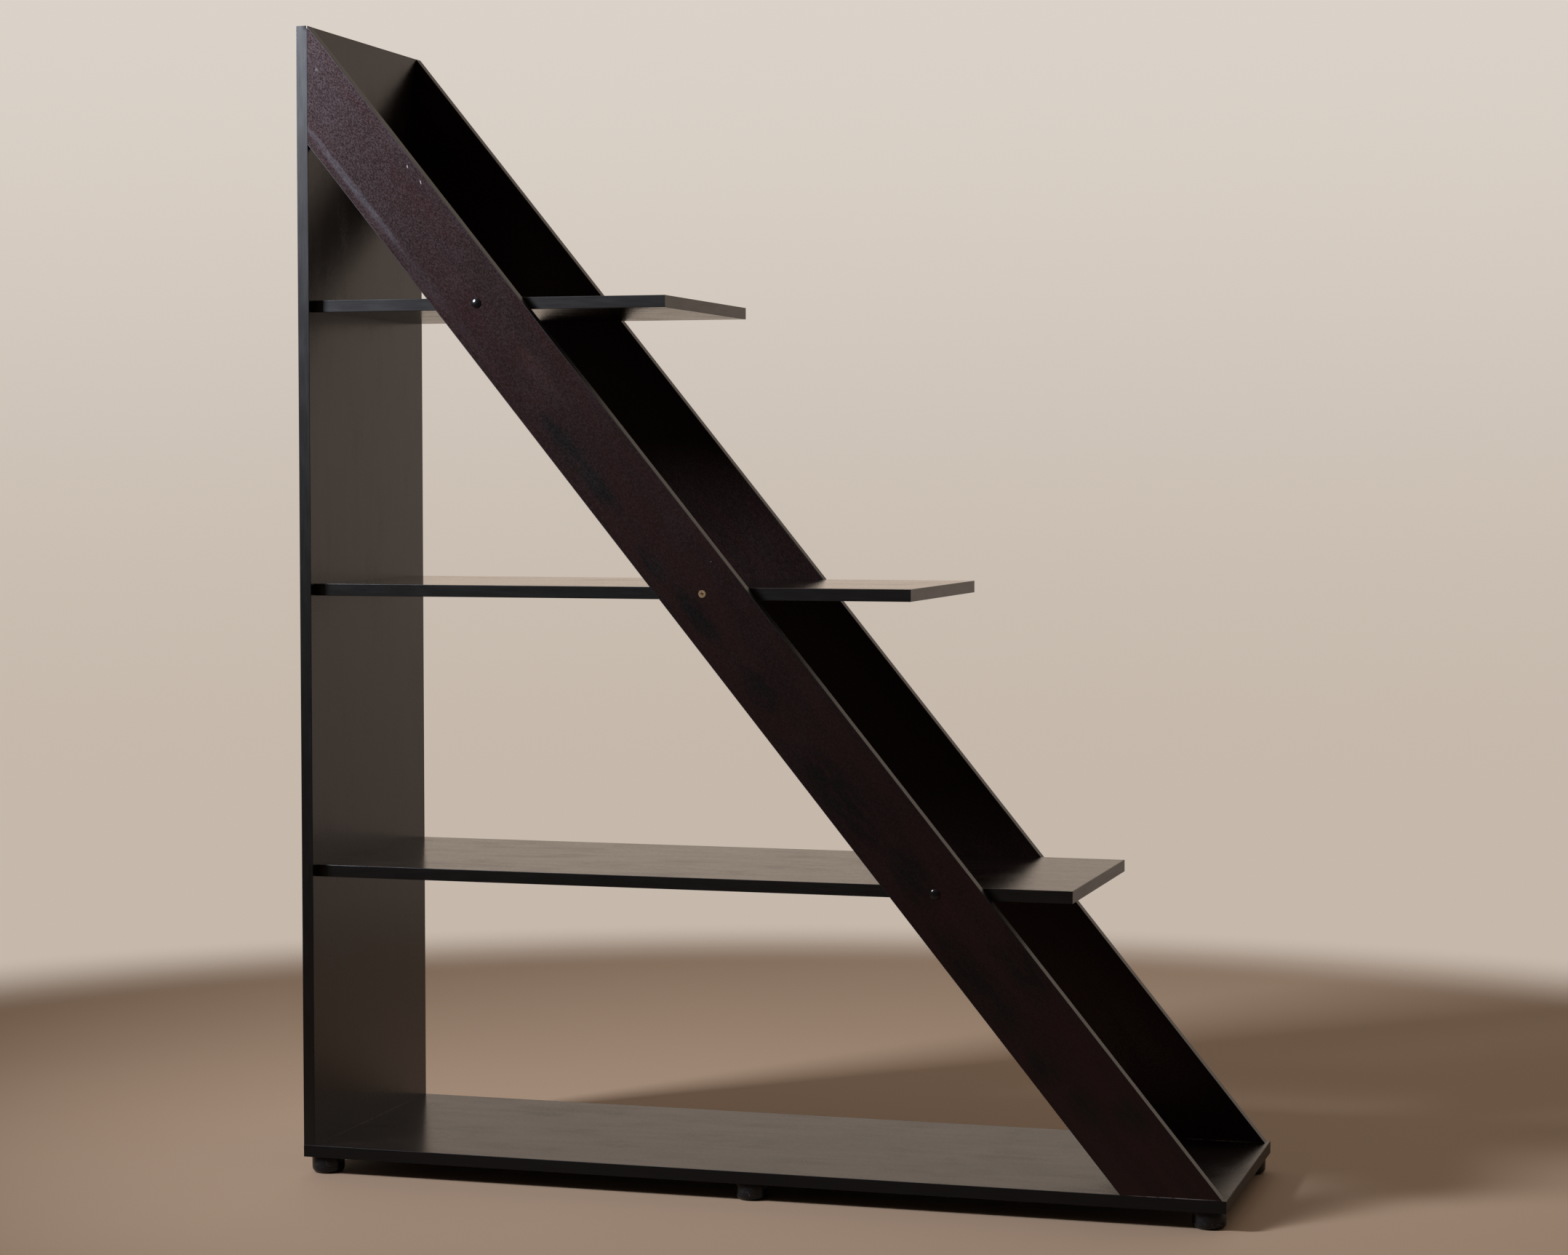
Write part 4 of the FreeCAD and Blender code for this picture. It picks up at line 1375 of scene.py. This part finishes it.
    def stand_camera(self) -> None:
        """The camera at the photograph's place and angle."""
        data = bpy.data.cameras.new("camera")
        data.lens, data.sensor_width, data.clip_end = (
            self.camera_lens, self.camera_sensor, self.camera_reach)
        camera = bpy.data.objects.new("camera", data)
        right, forward = Vector(self.camera_right), Vector(self.camera_forward)
        axes = Matrix((right, right.cross(forward), -forward)).transposed()
        camera.matrix_world = Matrix.Translation(self.camera_place) @ axes.to_4x4()
        bpy.context.scene.collection.objects.link(camera)
        bpy.context.scene.camera = camera
        bpy.context.scene.view_settings.view_transform = "Standard"


# The unit

PALE: Colour = (0.42, 0.39, 0.38)
# Blue-grey of the painted sheen: streaks on the front diagonal that paint the softbox's reflection
PAINTED_SHEEN: Colour = (0.050, 0.050, 0.056)
FADED: Colour = (0.045, 0.020, 0.015)
STAIN: Colour = (0.0010, 0.0022, 0.0019)
WORN_RED: Colour = (0.0200, 0.0050, 0.0048)
FOOT_SEAM = Mark.at((1899.5, 47.8, 128, 1.2), PALE, 0.25, soft=0.6, tilt=-0.89)
PANEL_SEAM = Mark.at((0.6, 195, 1.2, 390), PALE, 0.25, soft=0.6)
BASE_SPECKS = (Mark.at((1222.7, 354.6, 2, 2), PALE, 0.8),
               Mark.at((1237.3, 348.8, 2, 1.5), PALE, 0.8))
FOOT_NICK = Nick(place=1861 * MM, side=-1, length=3 * MM, depth=0.5 * MM)
UPRIGHT_CHIP = Nick(place=1499.5 * MM, side=-1, length=9 * MM, depth=0.4 * MM, pale=1.0)


def slope_marks() -> tuple[Mark, ...]:
    """The front diagonal's marks, from its top corner down it and in from its upper edge.

    Each mark's four numbers are its distance along, distance across, length and width, and
    the strength follows its colour.

    Returns:
        Two streaks of painted sheen along the lower edge near the top, a faded patch, four pale
        flecks, the seam at its foot, the dark stains and the patches that are worn red.
    """
    stains = ((660, 71, 150, 38), (735, 71, 105, 34), (855, 80, 80, 28), (945, 72, 120, 40),
              (1075, 68, 80, 46), (1248, 70, 220, 60), (1385, 62, 130, 54), (1539, 73, 240, 60),
              (1564, 18, 120, 44), (1674, 77, 80, 50), (1744, 64, 75, 44), (1790, 26, 75, 48))
    worn = ((1485, 55, 220, 60), (1665, 42, 230, 60), (1825, 44, 110, 60))
    # The first two marks are painted sheen, a painted reflection along the lower edge near the top
    return (Mark.at((185, 86, 340, 12), PAINTED_SHEEN, 0.34),
            Mark.at((330, 87, 460, 22), PAINTED_SHEEN, 0.06),
            Mark.at((558, 40, 90, 28), FADED, 0.10),
            Mark.at((237.2, 10, 6, 1.4), PALE, 0.5, soft=0.6, tilt=0.5),
            Mark.at((265.5, 9, 7, 1.4), PALE, 0.4, soft=0.6, tilt=0.4),
            Mark.at((53.8, 27, 7, 5), PALE, 0.22),
            Mark.at((904, 14, 2.2, 1.6), PALE, 0.5), FOOT_SEAM,
            *(Mark.at(stain, STAIN, 0.8) for stain in stains),
            *(Mark.at(patch, WORN_RED, 0.12) for patch in worn))


def main() -> None:
    """Builds the unit piece by piece, then the room."""
    logging.basicConfig(level=logging.INFO, format="%(name)s: %(message)s")
    banding = Banding().material("edge_banding")
    slope_banding = Banding(gloss_roughness=0.38, ior=1.41).material("slope_banding")
    base_banding = Banding(gloss_roughness=0.42, ior=1.28).material("base_banding")
    steel = PlatedSteel().material("plated_steel")
    base = Laminate(Grain.ALONG_SHELF, seed=2.3, marks=BASE_SPECKS, gloss_roughness=0.21)
    panel = Laminate(Grain.UP_PANEL, seed=3.9, marks=(PANEL_SEAM,),
                     gloss_tint=(1.0, 0.885, 0.96), gloss_roughness=0.21, ior=1.38)
    slope = Laminate(Grain.DOWN_SLOPE, seed=1.7, marks=slope_marks(),
                     black=(0.0024, 0.0021, 0.0017), brown=(0.0110, 0.0041, 0.0038),
                     gloss_tint=(1.0, 0.75, 0.78), gloss_roughness=0.26, ior=1.315,
                     cloud_share=0.3, cloth_roughness=0.17)
    front = SlopedBoard("front_diagonal", slope, slope_banding, nicks={"upper": (FOOT_NICK,)})
    rear = SlopedBoard("rear_diagonal", replace(slope, seed=4.1, marks=(FOOT_SEAM,)),
                       slope_banding)
    Board("base_board", base, base_banding, banded_ends=(-1, 1)).build()
    Board("upright_panel", panel, banding, Z, X, nicks={"front": (UPRIGHT_CHIP,)}).build()
    for place, seed, gloss in (("bottom", 5.3, 0.15), ("middle", 6.1, 0.07), ("top", 7.7, 0.15)):
        Board(f"shelf_{place}", Laminate(Grain.ALONG_SHELF, seed, gloss_roughness=gloss),
              banding).build()
    front.build()
    rear.build()
    Feet(FootPlastic().material("foot_plastic"), steel).build()
    Joints(front, rear, steel, CapPlastic().material("cap_plastic"),
           BeechRod().material("beech_rod")).build()
    Studio().build()


if __name__ == "__main__":
    main()
